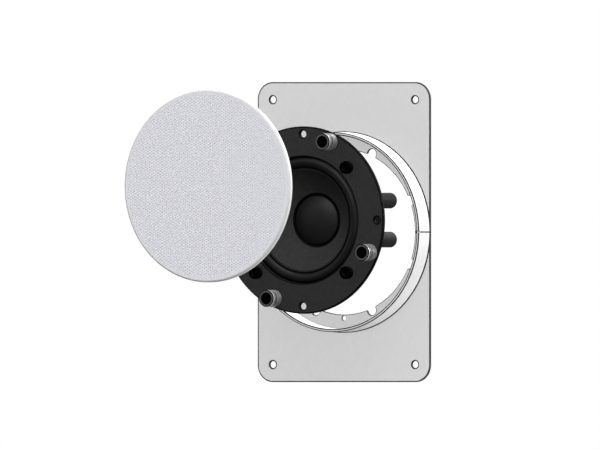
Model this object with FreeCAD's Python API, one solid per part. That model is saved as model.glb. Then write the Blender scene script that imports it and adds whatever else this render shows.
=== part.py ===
# In-wall loudspeaker drawn apart: mounting plate with its plaster ring, speaker unit and round grille.
# Millimetres, +Z up. The wall faces -Y, so "forward" is -Y and "back" is +Y.
# The origin is the centre of the four plate screws, on the plate's back face.
# The speaker unit is modelled from its own datum, the front face of the baffle, and the grille
# from its front face. Both are then carried forward and up to where they stand when pulled out.
import FreeCAD, Part
import math
import os

# Mounting plate
PLATE_SIDE_MARGIN = 0.1
PLATE_HEIGHT = 200.0
PLATE_THICKNESS = 1.5
PLATE_CORNER_RADIUS = 11.5
PLATE_SCREW_HOLE = 5.2
PLATE_SCREW_INSET = 11.7
SEAT_WIDTH = 7.5
NOTCH_COUNT = 8
NOTCH_RADIUS = 3.3
NOTCH_EDGE_ROUND = 1.0
PILOT_HOLE = 3.8

# Plaster ring: a rolled strip standing on the plate, with a butt seam
RING_DIAMETER = 133.2
RING_WALL = 1.5
RING_HEIGHT = 14.8
RING_SEAM = 0.4
RING_EDGE_BREAK = 0.25

# Baffle, the black front ring of the speaker unit
BAFFLE_CLEARANCE = 2.6
BAFFLE_THICKNESS = 2.2
BAFFLE_FACE_WIDTH = 20.3
BAFFLE_EDGE_BREAK = 0.5
BAFFLE_SCREW_HOLE = 4.6
BAFFLE_COUNTERSINK = 6.4
FIXING_INSET = 5.1
FIXING_COUNT = 4

# Grille posts, which hold the magnets that carry the grille
POST_COUNT = 4
POST_INSET = 6.0
POST_FIRST_ANGLE = 22.5
POST_DIAMETER = 11.4
POST_FOOT_DIAMETER = 11.4
POST_FOOT_LENGTH = 6.1
POST_NECK_DIAMETER = 9.4
POST_NECK_LENGTH = 1.5
POST_GROOVE_DEPTH = 0.5
POST_GROOVE_WIDTH = 0.7
POST_LIP_LENGTH = 1.4
MAGNET_POCKET_DIAMETER = 8.1
MAGNET_LENGTH = 4.0
MAGNET_RECESS = 0.8
MAGNET_FIT = 0.05
POST_SCREW_DIAMETER = 3.0
POST_SCREW_HEAD = 5.0
POST_SCREW_HEAD_HEIGHT = 1.6
POST_SCREW_HEAD_ROUND = 0.5
POST_SCREW_SLOT = 1.0
POST_SCREW_GRIP = 4.0

# Grille: a pressed sheet with a turned-back rim, and the cloth behind it
GRILLE_CLEARANCE = 1.0
GRILLE_THICKNESS = 0.8
GRILLE_RIM_DEPTH = 3.6
GRILLE_CORNER_RADIUS = 1.3
SCRIM_THICKNESS = 0.3
SCRIM_MARGIN = 0.4

# Driver: basket and suspension
SURROUND_ROLL_WIDTH = 6.6
SURROUND_LAND = 3.6
SURROUND_THICKNESS = 0.5
SURROUND_ROLL_HEIGHT = 2.5
CONE_LIP_WIDTH = 2.0
BASKET_WALL = 1.6
BASKET_RIM_THICKNESS = 2.0
BASKET_FLOOR_RADIUS = 33.0
BASKET_FLOOR_THICKNESS = 2.0
BASKET_WINDOWS = 8
BASKET_SPOKE_WIDTH = 15.4
WINDOW_MARGIN = 2.6
DRIVER_SCREW_COUNT = 4
DRIVER_SCREW_FIRST_ANGLE = 45.0
DRIVER_SCREW_REACH = 3.8
DRIVER_SCREW_DIAMETER = 5.0
DRIVER_SCREW_HEAD = 8.5
DRIVER_SCREW_HEAD_HEIGHT = 5.0
DRIVER_SCREW_EDGE = 0.6
DRIVER_SCREW_SOCKET = 4.0
DRIVER_SCREW_SOCKET_DEPTH = 2.6
DRIVER_SCREW_LENGTH = 8.0
EAR_RADIUS = 3.9
EAR_ROOT_RADIUS = 6.2

# Driver: cone, dust cap and voice coil
CONE_DEPTH = 15.9
CONE_THICKNESS = 0.5
CONE_BELLY = 0.9
CAP_RADIUS = 16.0
CAP_HEIGHT = 4.3
CAP_FLANGE_WIDTH = 2.2
CAP_THICKNESS = 0.4
GLUE_GAP = 0.15
COIL_RADIUS = 12.7
FORMER_THICKNESS = 0.25
FORMER_LENGTH = 15.5
WINDING_THICKNESS = 0.5
WINDING_LENGTH = 8.0
COIL_GAP = 0.45
CONE_TRAVEL = 3.0
SPIDER_THICKNESS = 0.4
SPIDER_DROP = 1.6
SPIDER_WAVE = 0.8
SPIDER_WAVES = 3
SPIDER_LANDING = 3.0

# Driver: motor
TOP_PLATE_RADIUS = 31.5
TOP_PLATE_THICKNESS = 4.0
MAGNET_RING_RADIUS = 32.5
MAGNET_RING_HOLE = 17.5
MAGNET_RING_THICKNESS = 10.0
MAGNET_RING_EDGE = 0.8
YOKE_RADIUS = 30.0
YOKE_THICKNESS = 4.0
YOKE_EDGE = 0.8
VENT_RADIUS = 4.0

# Terminal box at three o'clock, with its two binding posts
BOX_OUTSIDE_REACH = 5.3
BOX_INSIDE_REACH = 6.2
BOX_END_REACH = 6.0
BOX_BACK = 19.0
BOX_WALL = 1.2
BOX_CORNER_RADIUS = 3.5
BOX_TO_BASKET = 0.5
TERMINAL_SPACING = 26.0
TERMINAL_INSET = 0.6
TERMINAL_CAP_DIAMETER = 10.5
TERMINAL_CAP_LENGTH = 19.9
TERMINAL_CAP_ROUND = 0.8
TERMINAL_STUD_DIAMETER = 4.0
TERMINAL_STUD_DEPTH = 13.0
TERMINAL_STUD_TAIL = 4.6
TERMINAL_NUT_ACROSS_FLATS = 6.0
TERMINAL_NUT_THICKNESS = 2.2
STUD_FIT = 0.05

# Solder lugs on the basket, and the leads
STRIP_WIDTH = 11.0
STRIP_LENGTH = 9.0
STRIP_THICKNESS = 1.2
STRIP_FROM_RIM = 5.0
LUG_WIDTH = 2.4
LUG_HOLE = 1.2
LUG_LENGTH = 12.0
LUG_THICKNESS = 0.5
LUG_SPACING = 8.0
LUG_NOTCH_WIDTH = 18.4
LUG_NOTCH_ROOM = 4.4
TINSEL_DIAMETER = 0.9
WIRE_DIAMETER = 1.2
SOLDER_GAP = 0.15
BEND_SHARE_OF_RUN = 0.45

# Where the pieces stand when pulled out, measured from home
UNIT_PULLED_OUT = 51.9
UNIT_RAISED = 8.0
GRILLE_PULLED_OUT = 113.4
GRILLE_RAISED = 22.6
SEAT_GAP = 0.1

# How close two places are when they count as one, and how straight an edge is when it counts as parallel
TOUCHING = 1e-6
PARALLEL = 0.99

AXIS = FreeCAD.Vector(0, 1, 0)
ORIGIN = FreeCAD.Vector(0, 0, 0)

# Sizes that follow from the ones above
RING_OUTER_RADIUS = RING_DIAMETER / 2
RING_INNER_RADIUS = RING_OUTER_RADIUS - RING_WALL
PLATE_WIDTH = RING_DIAMETER + 2 * PLATE_SIDE_MARGIN
PLATE_FRONT = -PLATE_THICKNESS
BAFFLE_RADIUS = RING_INNER_RADIUS - BAFFLE_CLEARANCE
OPENING_RADIUS = BAFFLE_RADIUS - SEAT_WIDTH
FIXING_CIRCLE = 2 * (BAFFLE_RADIUS - FIXING_INSET)
POST_CIRCLE = 2 * (BAFFLE_RADIUS - POST_INSET)
SURROUND_OUTER_RADIUS = BAFFLE_RADIUS - BAFFLE_FACE_WIDTH
SURROUND_INNER_RADIUS = SURROUND_OUTER_RADIUS - SURROUND_ROLL_WIDTH
GRILLE_RADIUS = RING_INNER_RADIUS - GRILLE_CLEARANCE
POST_LENGTH = RING_HEIGHT - BAFFLE_THICKNESS - GRILLE_THICKNESS - SCRIM_THICKNESS - 2 * SEAT_GAP
UNIT_Y = PLATE_FRONT - SEAT_GAP - BAFFLE_THICKNESS - UNIT_PULLED_OUT
UNIT_Z = UNIT_RAISED
GRILLE_Y = PLATE_FRONT - RING_HEIGHT - UNIT_PULLED_OUT - GRILLE_PULLED_OUT
GRILLE_Z = UNIT_RAISED + GRILLE_RAISED

# Depths in the speaker unit, measured back from the baffle's front face
RIM_FRONT = BAFFLE_THICKNESS + SURROUND_THICKNESS
RIM_BACK = RIM_FRONT + BASKET_RIM_THICKNESS
LANDING_RADIUS = SURROUND_OUTER_RADIUS + SURROUND_LAND
RIM_INNER_RADIUS = SURROUND_OUTER_RADIUS - SURROUND_THICKNESS
CONE_FRONT = RIM_FRONT + GLUE_GAP
CONE_RADIUS = SURROUND_INNER_RADIUS
CAP_SEAT_RADIUS = CAP_RADIUS + CAP_FLANGE_WIDTH
CAP_SEAT = CONE_FRONT + CONE_DEPTH
FORMER_OUTER_RADIUS = COIL_RADIUS + FORMER_THICKNESS
NECK_DEPTH = CAP_SEAT + (CAP_SEAT_RADIUS - FORMER_OUTER_RADIUS)
SPIDER_SEAT = NECK_DEPTH + CONE_THICKNESS + SPIDER_DROP
FLOOR_FRONT = SPIDER_SEAT + SPIDER_WAVE + CONE_TRAVEL
FLOOR_BACK = FLOOR_FRONT + BASKET_FLOOR_THICKNESS
TOP_PLATE_BACK = FLOOR_BACK + TOP_PLATE_THICKNESS
MAGNET_RING_BACK = TOP_PLATE_BACK + MAGNET_RING_THICKNESS
YOKE_BACK = MAGNET_RING_BACK + YOKE_THICKNESS
FORMER_FRONT = NECK_DEPTH - 2 * CONE_THICKNESS
WINDING_MIDDLE = FLOOR_BACK + TOP_PLATE_THICKNESS / 2
WALL_SLOPE = (LANDING_RADIUS - BASKET_WALL - BASKET_FLOOR_RADIUS) / (SPIDER_SEAT - RIM_BACK)
DRIVER_SCREW_CIRCLE = 2 * (LANDING_RADIUS + DRIVER_SCREW_REACH)
TERMINAL_OFFSET = LANDING_RADIUS - TERMINAL_INSET
BOX_OUTER_FACE = TERMINAL_OFFSET + BOX_OUTSIDE_REACH
BOX_INNER_FACE = TERMINAL_OFFSET - BOX_INSIDE_REACH
BOX_WIDTH = TERMINAL_SPACING + 2 * BOX_END_REACH


def outline(start, *steps):
    """Closed face over radius (X) and depth (Y). A step is a point, or an arc's middle and end."""
    edges = []
    here = FreeCAD.Vector(start[0], start[1], 0)
    first = here
    for step in steps + (start,):
        if isinstance(step[0], tuple):
            middle = FreeCAD.Vector(step[0][0], step[0][1], 0)
            there = FreeCAD.Vector(step[1][0], step[1][1], 0)
            edges.append(Part.Arc(here, middle, there).toShape())
        else:
            there = FreeCAD.Vector(step[0], step[1], 0)
            if here.distanceToPoint(there) > TOUCHING:
                edges.append(Part.LineSegment(here, there).toShape())
        here = there
    if here.distanceToPoint(first) > TOUCHING:
        raise ValueError("the outline does not close")
    return Part.Face(Part.Wire(edges))


def turned(start, *steps):
    """Solid of revolution about the speaker's axis."""
    return outline(start, *steps).revolve(ORIGIN, AXIS, 360)


def rod(radius, front, back, x=0.0, z=0.0):
    """Round bar parallel to the speaker's axis, from depth front to depth back."""
    return Part.makeCylinder(radius, back - front, FreeCAD.Vector(x, front, z), AXIS)


def tube(outer, inner, front, back, x=0.0, z=0.0):
    """Hollow bar parallel to the speaker's axis."""
    return rod(outer, front, back, x, z).cut(rod(inner, front, back, x, z))


def box(x0, x1, y0, y1, z0, z1):
    """Block between two corners."""
    return Part.makeBox(x1 - x0, y1 - y0, z1 - z0, FreeCAD.Vector(x0, y0, z0))


def around(radius, angle):
    """X and Z of a point at a clock angle, in degrees clockwise from twelve as seen from the front."""
    turn = math.radians(angle)
    return radius * math.sin(turn), radius * math.cos(turn)


def on_circle(diameter, count, first_angle=0.0):
    """X and Z of points evenly spaced on a circle."""
    return [around(diameter / 2, first_angle + 360.0 * n / count) for n in range(count)]


def hexagon(across_flats, front, back, x=0.0, z=0.0):
    """Hexagonal bar parallel to the speaker's axis."""
    radius = across_flats / math.sqrt(3)
    corners = [
        FreeCAD.Vector(
            x + radius * math.cos(math.radians(60 * n)),
            front,
            z + radius * math.sin(math.radians(60 * n)),
        )
        for n in range(6)
    ]
    face = Part.Face(Part.makePolygon(corners + corners[:1]))
    return face.extrude(FreeCAD.Vector(0, back - front, 0))


def circles_at(shape, depth):
    """Full circles among a shape's edges that lie at one depth."""
    return [e for e in shape.Edges if e.Closed and abs(e.BoundBox.Center.y - depth) < TOUCHING]


def joined(shapes):
    """One solid out of touching shapes."""
    first, *others = shapes
    return first.fuse(others).removeSplitter() if others else first


def lead(points, diameter):
    """Round wire along straight runs joined by arcs that touch them."""
    path = [FreeCAD.Vector(*p) for p in points]
    edges = []
    here = path[0]
    for before, corner, after in zip(path, path[1:], path[2:]):
        back_run = before.sub(corner)
        on_run = after.sub(corner)
        half = (math.pi - back_run.getAngle(on_run)) / 2
        radius = BEND_SHARE_OF_RUN * min(back_run.Length, on_run.Length) / math.tan(half)
        reach = radius * math.tan(half)
        back_run.normalize()
        on_run.normalize()
        enter = corner + back_run * reach
        leave = corner + on_run * reach
        inward = (back_run + on_run).normalize()
        middle = corner + inward * (radius / math.cos(half) - radius)
        if here.distanceToPoint(enter) > TOUCHING:
            edges.append(Part.LineSegment(here, enter).toShape())
        edges.append(Part.Arc(enter, middle, leave).toShape())
        here = leave
        print("lead of", diameter, "mm, bend radius", round(radius, 1))
    edges.append(Part.LineSegment(here, path[-1]).toShape())
    spine = Part.Wire(edges)
    section = Part.Wire([Part.Circle(path[0], path[1].sub(path[0]), diameter / 2).toShape()])
    return spine.makePipeShell([section], True, True)


def mounting_plate():
    """Sheet with rounded corners, screw holes and the notched opening that the speaker unit seats over."""
    half_width = PLATE_WIDTH / 2
    half_height = PLATE_HEIGHT / 2
    sheet = box(-half_width, half_width, PLATE_FRONT, 0, -half_height, half_height)
    corners = [e for e in sheet.Edges if abs(e.tangentAt(e.FirstParameter).y) > PARALLEL]
    sheet = sheet.makeFillet(PLATE_CORNER_RADIUS, corners)
    sheet = sheet.cut(rod(OPENING_RADIUS, PLATE_FRONT, 0))
    notches = [
        rod(NOTCH_RADIUS, PLATE_FRONT, 0, x, z)
        for x, z in on_circle(POST_CIRCLE, NOTCH_COUNT, POST_FIRST_ANGLE)
    ]
    sheet = sheet.cut(notches)
    tips = [e for e in sheet.Edges if is_notch_tip(e)]
    sheet = sheet.makeFillet(NOTCH_EDGE_ROUND, tips)
    pilots = [
        rod(PILOT_HOLE / 2, PLATE_FRONT, 0, x, z) for x, z in on_circle(FIXING_CIRCLE, FIXING_COUNT)
    ]
    hole_x = half_width - PLATE_SCREW_INSET
    hole_z = half_height - PLATE_SCREW_INSET
    screws = [
        rod(PLATE_SCREW_HOLE / 2, PLATE_FRONT, 0, x, z)
        for x in (-hole_x, hole_x)
        for z in (-hole_z, hole_z)
    ]
    return sheet.cut(pilots + screws)


def is_notch_tip(edge):
    """True for a sharp edge through the sheet where a notch meets the round opening."""
    if len(edge.Vertexes) != 2 or abs(edge.Length - PLATE_THICKNESS) > TOUCHING:
        return False
    if abs(edge.tangentAt(edge.FirstParameter).y) < PARALLEL:
        return False
    corner = edge.Vertexes[0].Point
    on_opening = abs(math.hypot(corner.x, corner.z) - OPENING_RADIUS) < TOUCHING
    on_notch = any(
        abs(math.hypot(corner.x - x, corner.z - z) - NOTCH_RADIUS) < TOUCHING
        for x, z in on_circle(POST_CIRCLE, NOTCH_COUNT, POST_FIRST_ANGLE)
    )
    return on_opening and on_notch


def plaster_ring():
    """Strip rolled into a ring, its two ends meeting at three o'clock."""
    rim = PLATE_FRONT - RING_HEIGHT
    ring = turned(
        (RING_INNER_RADIUS, PLATE_FRONT),
        (RING_OUTER_RADIUS, PLATE_FRONT),
        (RING_OUTER_RADIUS, rim + RING_EDGE_BREAK),
        (RING_OUTER_RADIUS - RING_EDGE_BREAK, rim),
        (RING_INNER_RADIUS + RING_EDGE_BREAK, rim),
        (RING_INNER_RADIUS, rim + RING_EDGE_BREAK),
    )
    seam = box(
        RING_INNER_RADIUS / 2, RING_OUTER_RADIUS + RING_WALL, rim, PLATE_FRONT, -RING_SEAM / 2, RING_SEAM / 2
    )
    return ring.cut(seam)


def baffle_ring():
    """Flat black ring that carries the driver, the posts and the terminal box."""
    edge = BAFFLE_EDGE_BREAK
    ring = turned(
        (SURROUND_OUTER_RADIUS + edge, 0),
        (BAFFLE_RADIUS - edge, 0),
        (BAFFLE_RADIUS, edge),
        (BAFFLE_RADIUS, BAFFLE_THICKNESS),
        (SURROUND_OUTER_RADIUS, BAFFLE_THICKNESS),
        (SURROUND_OUTER_RADIUS, edge),
    )
    cuts = []
    sink = (BAFFLE_COUNTERSINK - BAFFLE_SCREW_HOLE) / 2
    for x, z in on_circle(FIXING_CIRCLE, FIXING_COUNT):
        cuts.append(rod(BAFFLE_SCREW_HOLE / 2, 0, BAFFLE_THICKNESS, x, z))
        cuts.append(
            Part.makeCone(
                BAFFLE_COUNTERSINK / 2, BAFFLE_SCREW_HOLE / 2, sink, FreeCAD.Vector(x, 0, z), AXIS
            )
        )
    for x, z in on_circle(POST_CIRCLE, POST_COUNT, POST_FIRST_ANGLE):
        cuts.append(rod(POST_SCREW_DIAMETER / 2, 0, BAFFLE_THICKNESS, x, z))
    for x, z in driver_screw_places():
        cuts.append(rod(DRIVER_SCREW_DIAMETER / 2, 0, BAFFLE_THICKNESS, x, z))
    return ring.cut(cuts)


def driver_screw_places():
    """The cap screws stand midway between the fixing holes."""
    return on_circle(DRIVER_SCREW_CIRCLE, DRIVER_SCREW_COUNT, DRIVER_SCREW_FIRST_ANGLE)


def grille_post(x, z):
    """Turned post with a wide foot, a neck, a grooved head and a pocket for its magnet."""
    foot = POST_FOOT_DIAMETER / 2
    head = POST_DIAMETER / 2
    neck = POST_NECK_DIAMETER / 2
    groove = head - POST_GROOVE_DEPTH
    pocket = MAGNET_POCKET_DIAMETER / 2
    bevel = POST_GROOVE_DEPTH / 2
    front = -POST_LENGTH
    lip_back = front + POST_LIP_LENGTH
    groove_back = lip_back + POST_GROOVE_WIDTH
    neck_back = -POST_FOOT_LENGTH
    neck_front = neck_back - POST_NECK_LENGTH
    post = turned(
        (0, 0),
        (foot, 0),
        (foot, neck_back + bevel),
        (foot - bevel, neck_back),
        (neck, neck_back),
        (neck, neck_front),
        (head, neck_front),
        (head, groove_back),
        (groove, groove_back),
        (groove, lip_back),
        (head, lip_back),
        (head, front + bevel),
        (head - bevel, front),
        (pocket, front),
        (pocket, front + MAGNET_RECESS + MAGNET_LENGTH),
        (0, front + MAGNET_RECESS + MAGNET_LENGTH),
    )
    post = post.cut(rod(POST_SCREW_DIAMETER / 2, -POST_SCREW_GRIP, 0))
    return post.translate(FreeCAD.Vector(x, 0, z))


def post_magnet(x, z):
    """Round magnet pressed to the bottom of its pocket."""
    front = MAGNET_RECESS - POST_LENGTH
    return rod(MAGNET_POCKET_DIAMETER / 2 - MAGNET_FIT, front, front + MAGNET_LENGTH, x, z)


def post_screw(x, z):
    """Pan-head screw that holds a post, its head behind the baffle."""
    head = rod(
        POST_SCREW_HEAD / 2, BAFFLE_THICKNESS, BAFFLE_THICKNESS + POST_SCREW_HEAD_HEIGHT, x, z
    )
    head = head.makeFillet(POST_SCREW_HEAD_ROUND, circles_at(head, head.BoundBox.YMax))
    shank = rod(POST_SCREW_DIAMETER / 2, -POST_SCREW_GRIP, BAFFLE_THICKNESS, x, z)
    half_slot = POST_SCREW_SLOT / 2
    drive = box(
        x - POST_SCREW_HEAD,
        x + POST_SCREW_HEAD,
        BAFFLE_THICKNESS + POST_SCREW_HEAD_HEIGHT / 2,
        BAFFLE_THICKNESS + POST_SCREW_HEAD_HEIGHT,
        z - half_slot,
        z + half_slot,
    )
    return joined([head, shank]).cut(drive)


def driver_screw(x, z):
    """Socket-head cap screw from the front, through the baffle into the basket's ear."""
    head = rod(DRIVER_SCREW_HEAD / 2, -DRIVER_SCREW_HEAD_HEIGHT, 0, x, z)
    head = head.makeChamfer(DRIVER_SCREW_EDGE, circles_at(head, head.BoundBox.YMin))
    shank = rod(DRIVER_SCREW_DIAMETER / 2, 0, DRIVER_SCREW_LENGTH, x, z)
    socket_back = DRIVER_SCREW_SOCKET_DEPTH - DRIVER_SCREW_HEAD_HEIGHT
    socket = hexagon(DRIVER_SCREW_SOCKET, -DRIVER_SCREW_HEAD_HEIGHT, socket_back, x, z)
    return joined([head, shank]).cut(socket)


def wall_radius(depth):
    """Outer radius of the basket's sloping wall at a depth."""
    return LANDING_RADIUS - BASKET_WALL - (depth - RIM_BACK) * WALL_SLOPE


def basket():
    """Cast frame: a rim with ears, spokes between windows, a landing for the spider and a floor."""
    landing_outer = wall_radius(SPIDER_SEAT) - BASKET_WALL
    landing_inner = landing_outer - SPIDER_LANDING
    floor_hole = COIL_RADIUS + FORMER_THICKNESS + WINDING_THICKNESS + COIL_GAP + SPIDER_LANDING
    shell = turned(
        (LANDING_RADIUS, RIM_FRONT),
        (LANDING_RADIUS, RIM_BACK),
        (wall_radius(RIM_BACK), RIM_BACK),
        (BASKET_FLOOR_RADIUS, SPIDER_SEAT),
        (BASKET_FLOOR_RADIUS, FLOOR_BACK),
        (floor_hole, FLOOR_BACK),
        (floor_hole, FLOOR_FRONT),
        (landing_inner, FLOOR_FRONT),
        (landing_inner, SPIDER_SEAT),
        (landing_outer, SPIDER_SEAT),
        (wall_radius(RIM_BACK) - BASKET_WALL, RIM_BACK),
        (wall_radius(RIM_BACK) - BASKET_WALL, RIM_FRONT),
    )
    windows = [basket_window(n) for n in range(BASKET_WINDOWS)]
    shell = shell.cut(windows)
    ears = []
    holes = []
    for x, z in driver_screw_places():
        share = (LANDING_RADIUS - EAR_RADIUS) / math.hypot(x, z)
        pad = rod(EAR_RADIUS, RIM_FRONT, RIM_BACK, x, z)
        root = rod(EAR_ROOT_RADIUS, RIM_FRONT, RIM_BACK, x * share, z * share)
        web = ear_web(x, z, share)
        inside = rod(wall_radius(RIM_BACK) - BASKET_WALL, RIM_FRONT, RIM_BACK)
        ears.append(joined([pad, root, web]).cut(inside))
        holes.append(rod(DRIVER_SCREW_DIAMETER / 2, RIM_FRONT, RIM_BACK, x, z))
    return joined([shell] + ears).cut(holes)


def ear_web(x, z, share):
    """Tapered web between an ear's pad and the root that flares into the rim."""
    reach = math.hypot(x, z)
    out = FreeCAD.Vector(x / reach, 0, z / reach)
    side = FreeCAD.Vector(out.z, 0, -out.x)
    pad = FreeCAD.Vector(x, RIM_FRONT, z)
    root = FreeCAD.Vector(x * share, RIM_FRONT, z * share)
    corners = [
        pad + side * EAR_RADIUS,
        pad - side * EAR_RADIUS,
        root - side * EAR_ROOT_RADIUS,
        root + side * EAR_ROOT_RADIUS,
    ]
    face = Part.Face(Part.makePolygon(corners + corners[:1]))
    return face.extrude(FreeCAD.Vector(0, BASKET_RIM_THICKNESS, 0))


def basket_window(n):
    """Opening through the sloping wall between two spokes, wider at the front than at the back."""
    front = RIM_BACK + WINDOW_MARGIN
    back = SPIDER_SEAT - WINDOW_MARGIN
    middle_angle = 360.0 * (n + 0.5) / BASKET_WINDOWS
    half_sector = math.pi / BASKET_WINDOWS
    corners = []
    for depth, radius in ((front, wall_radius(front)), (back, wall_radius(back))):
        half = radius * math.tan(half_sector) - BASKET_SPOKE_WIDTH / 2 / math.cos(half_sector)
        corners.append((half, depth))
    (wide, y0), (narrow, y1) = corners
    points = [(-wide, y0), (wide, y0), (narrow, y1), (-narrow, y1)]
    vectors = [FreeCAD.Vector(x, y, 0) for x, y in points]
    face = Part.Face(Part.makePolygon(vectors + vectors[:1]))
    cutter = face.extrude(FreeCAD.Vector(0, 0, LANDING_RADIUS))
    sides = [e for e in cutter.Edges if abs(e.tangentAt(e.FirstParameter).z) > PARALLEL]
    cutter = cutter.makeFillet(WINDOW_MARGIN / 2, sides)
    cutter.rotate(ORIGIN, AXIS, middle_angle)
    return cutter


def surround():
    """Half-roll rubber edge between the basket's rim and the cone."""
    lip_inner = SURROUND_INNER_RADIUS - CONE_LIP_WIDTH
    middle = (SURROUND_INNER_RADIUS + SURROUND_OUTER_RADIUS - SURROUND_THICKNESS) / 2
    half = (SURROUND_OUTER_RADIUS - SURROUND_THICKNESS - SURROUND_INNER_RADIUS) / 2
    front = BAFFLE_THICKNESS
    back = RIM_FRONT
    crest = back - SURROUND_ROLL_HEIGHT
    inner_half = half - SURROUND_THICKNESS
    return turned(
        (LANDING_RADIUS, front),
        (LANDING_RADIUS, back),
        (middle + inner_half, back),
        ((middle, crest + SURROUND_THICKNESS), (middle - inner_half, back)),
        (lip_inner, back),
        (lip_inner, front),
        (middle - half, front),
        ((middle, crest), (middle + half, front)),
    )


def cone():
    """Paper cone with a slightly bellied wall, a flat lip for the surround and a neck on the voice coil."""
    lip_inner = CONE_RADIUS - CONE_LIP_WIDTH
    mid_radius = (lip_inner + CAP_SEAT_RADIUS) / 2 + CONE_BELLY
    mid_depth = CONE_FRONT + CONE_DEPTH / 2 + CONE_BELLY
    wall = CONE_THICKNESS
    return turned(
        (CONE_RADIUS, CONE_FRONT),
        (CONE_RADIUS, CONE_FRONT + wall),
        (lip_inner, CONE_FRONT + wall),
        ((mid_radius, mid_depth + wall), (CAP_SEAT_RADIUS, CAP_SEAT + wall)),
        (FORMER_OUTER_RADIUS, NECK_DEPTH + wall),
        (FORMER_OUTER_RADIUS, NECK_DEPTH),
        (CAP_SEAT_RADIUS, CAP_SEAT),
        ((mid_radius, mid_depth), (lip_inner, CONE_FRONT)),
    )


def dust_cap():
    """Domed cap, part of a sphere, whose sunken flange is glued to the cone."""
    sink = CAP_FLANGE_WIDTH
    wall = CAP_THICKNESS
    seat = CAP_SEAT - GLUE_GAP
    sphere = (CAP_RADIUS**2 + CAP_HEIGHT**2) / (2 * CAP_HEIGHT)
    centre = seat - CAP_HEIGHT + sphere

    def arc_from_axis(radius, end_x):
        """Middle, then end, of an arc about the sphere's centre that starts on the axis."""
        turn = math.asin(end_x / radius)
        middle = (radius * math.sin(turn / 2), centre - radius * math.cos(turn / 2))
        return middle, (end_x, centre - radius * math.cos(turn))

    inner = sphere - wall
    inner_middle, inner_end = arc_from_axis(inner, CAP_RADIUS - wall)
    return turned(
        (0, seat - CAP_HEIGHT),
        arc_from_axis(sphere, CAP_RADIUS),
        (CAP_RADIUS + sink / 3, seat + sink / 3 - wall),
        (CAP_RADIUS + sink, seat - wall),
        (CAP_RADIUS + sink, seat),
        (CAP_RADIUS, seat + sink),
        (CAP_RADIUS - wall, seat + sink),
        inner_end,
        (inner_middle, (0, centre - inner)),
    )


def voice_coil_former():
    """Thin tube that the coil is wound on."""
    return tube(FORMER_OUTER_RADIUS, COIL_RADIUS, FORMER_FRONT, FORMER_FRONT + FORMER_LENGTH)


def voice_coil():
    """Winding, centred in the gap of the top plate."""
    half = WINDING_LENGTH / 2
    outer = FORMER_OUTER_RADIUS + WINDING_THICKNESS
    return tube(outer, FORMER_OUTER_RADIUS, WINDING_MIDDLE - half, WINDING_MIDDLE + half)


def spider():
    """Corrugated centring disc between the former and the basket's landing."""
    outer = wall_radius(SPIDER_SEAT) - BASKET_WALL - GLUE_GAP
    inner = FORMER_OUTER_RADIUS + GLUE_GAP
    first = outer - SPIDER_LANDING
    pitch = (first - inner) / SPIDER_WAVES
    wall = SPIDER_THICKNESS
    seat = SPIDER_SEAT
    back_edge = []
    front_edge = []
    for n in range(SPIDER_WAVES):
        start = first - n * pitch
        quarter, three_quarter, end = (start - pitch * share for share in (0.25, 0.75, 1.0))
        half_way = start - pitch / 2
        back_edge.append(((quarter, seat - SPIDER_WAVE), (half_way, seat)))
        back_edge.append(((three_quarter, seat + SPIDER_WAVE), (end, seat)))
        front_edge.append(((quarter, seat - wall - SPIDER_WAVE), (start, seat - wall)))
        front_edge.append(((three_quarter, seat - wall + SPIDER_WAVE), (half_way, seat - wall)))
    forward = []
    for n in reversed(range(SPIDER_WAVES)):
        forward.append(front_edge[2 * n + 1])
        forward.append(front_edge[2 * n])
    return turned(
        (outer, seat), (first, seat), *back_edge, (inner, seat - wall), *forward, (outer, seat - wall)
    )


def top_plate():
    """Steel washer on the front of the magnet."""
    hole = FORMER_OUTER_RADIUS + WINDING_THICKNESS + COIL_GAP
    return tube(TOP_PLATE_RADIUS, hole, FLOOR_BACK, TOP_PLATE_BACK)


def magnet_ring():
    """Ferrite ring with broken edges."""
    edge = MAGNET_RING_EDGE
    return turned(
        (MAGNET_RING_HOLE, TOP_PLATE_BACK),
        (MAGNET_RING_RADIUS - edge, TOP_PLATE_BACK),
        (MAGNET_RING_RADIUS, TOP_PLATE_BACK + edge),
        (MAGNET_RING_RADIUS, MAGNET_RING_BACK - edge),
        (MAGNET_RING_RADIUS - edge, MAGNET_RING_BACK),
        (MAGNET_RING_HOLE, MAGNET_RING_BACK),
    )


def pole_yoke():
    """Back plate and vented pole, forged as one."""
    pole = COIL_RADIUS - COIL_GAP
    edge = YOKE_EDGE
    return turned(
        (VENT_RADIUS, FLOOR_BACK),
        (pole, FLOOR_BACK),
        (pole, MAGNET_RING_BACK),
        (YOKE_RADIUS, MAGNET_RING_BACK),
        (YOKE_RADIUS, YOKE_BACK - edge),
        (YOKE_RADIUS - edge, YOKE_BACK),
        (VENT_RADIUS + edge, YOKE_BACK),
        (VENT_RADIUS, YOKE_BACK - edge),
    )


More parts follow.
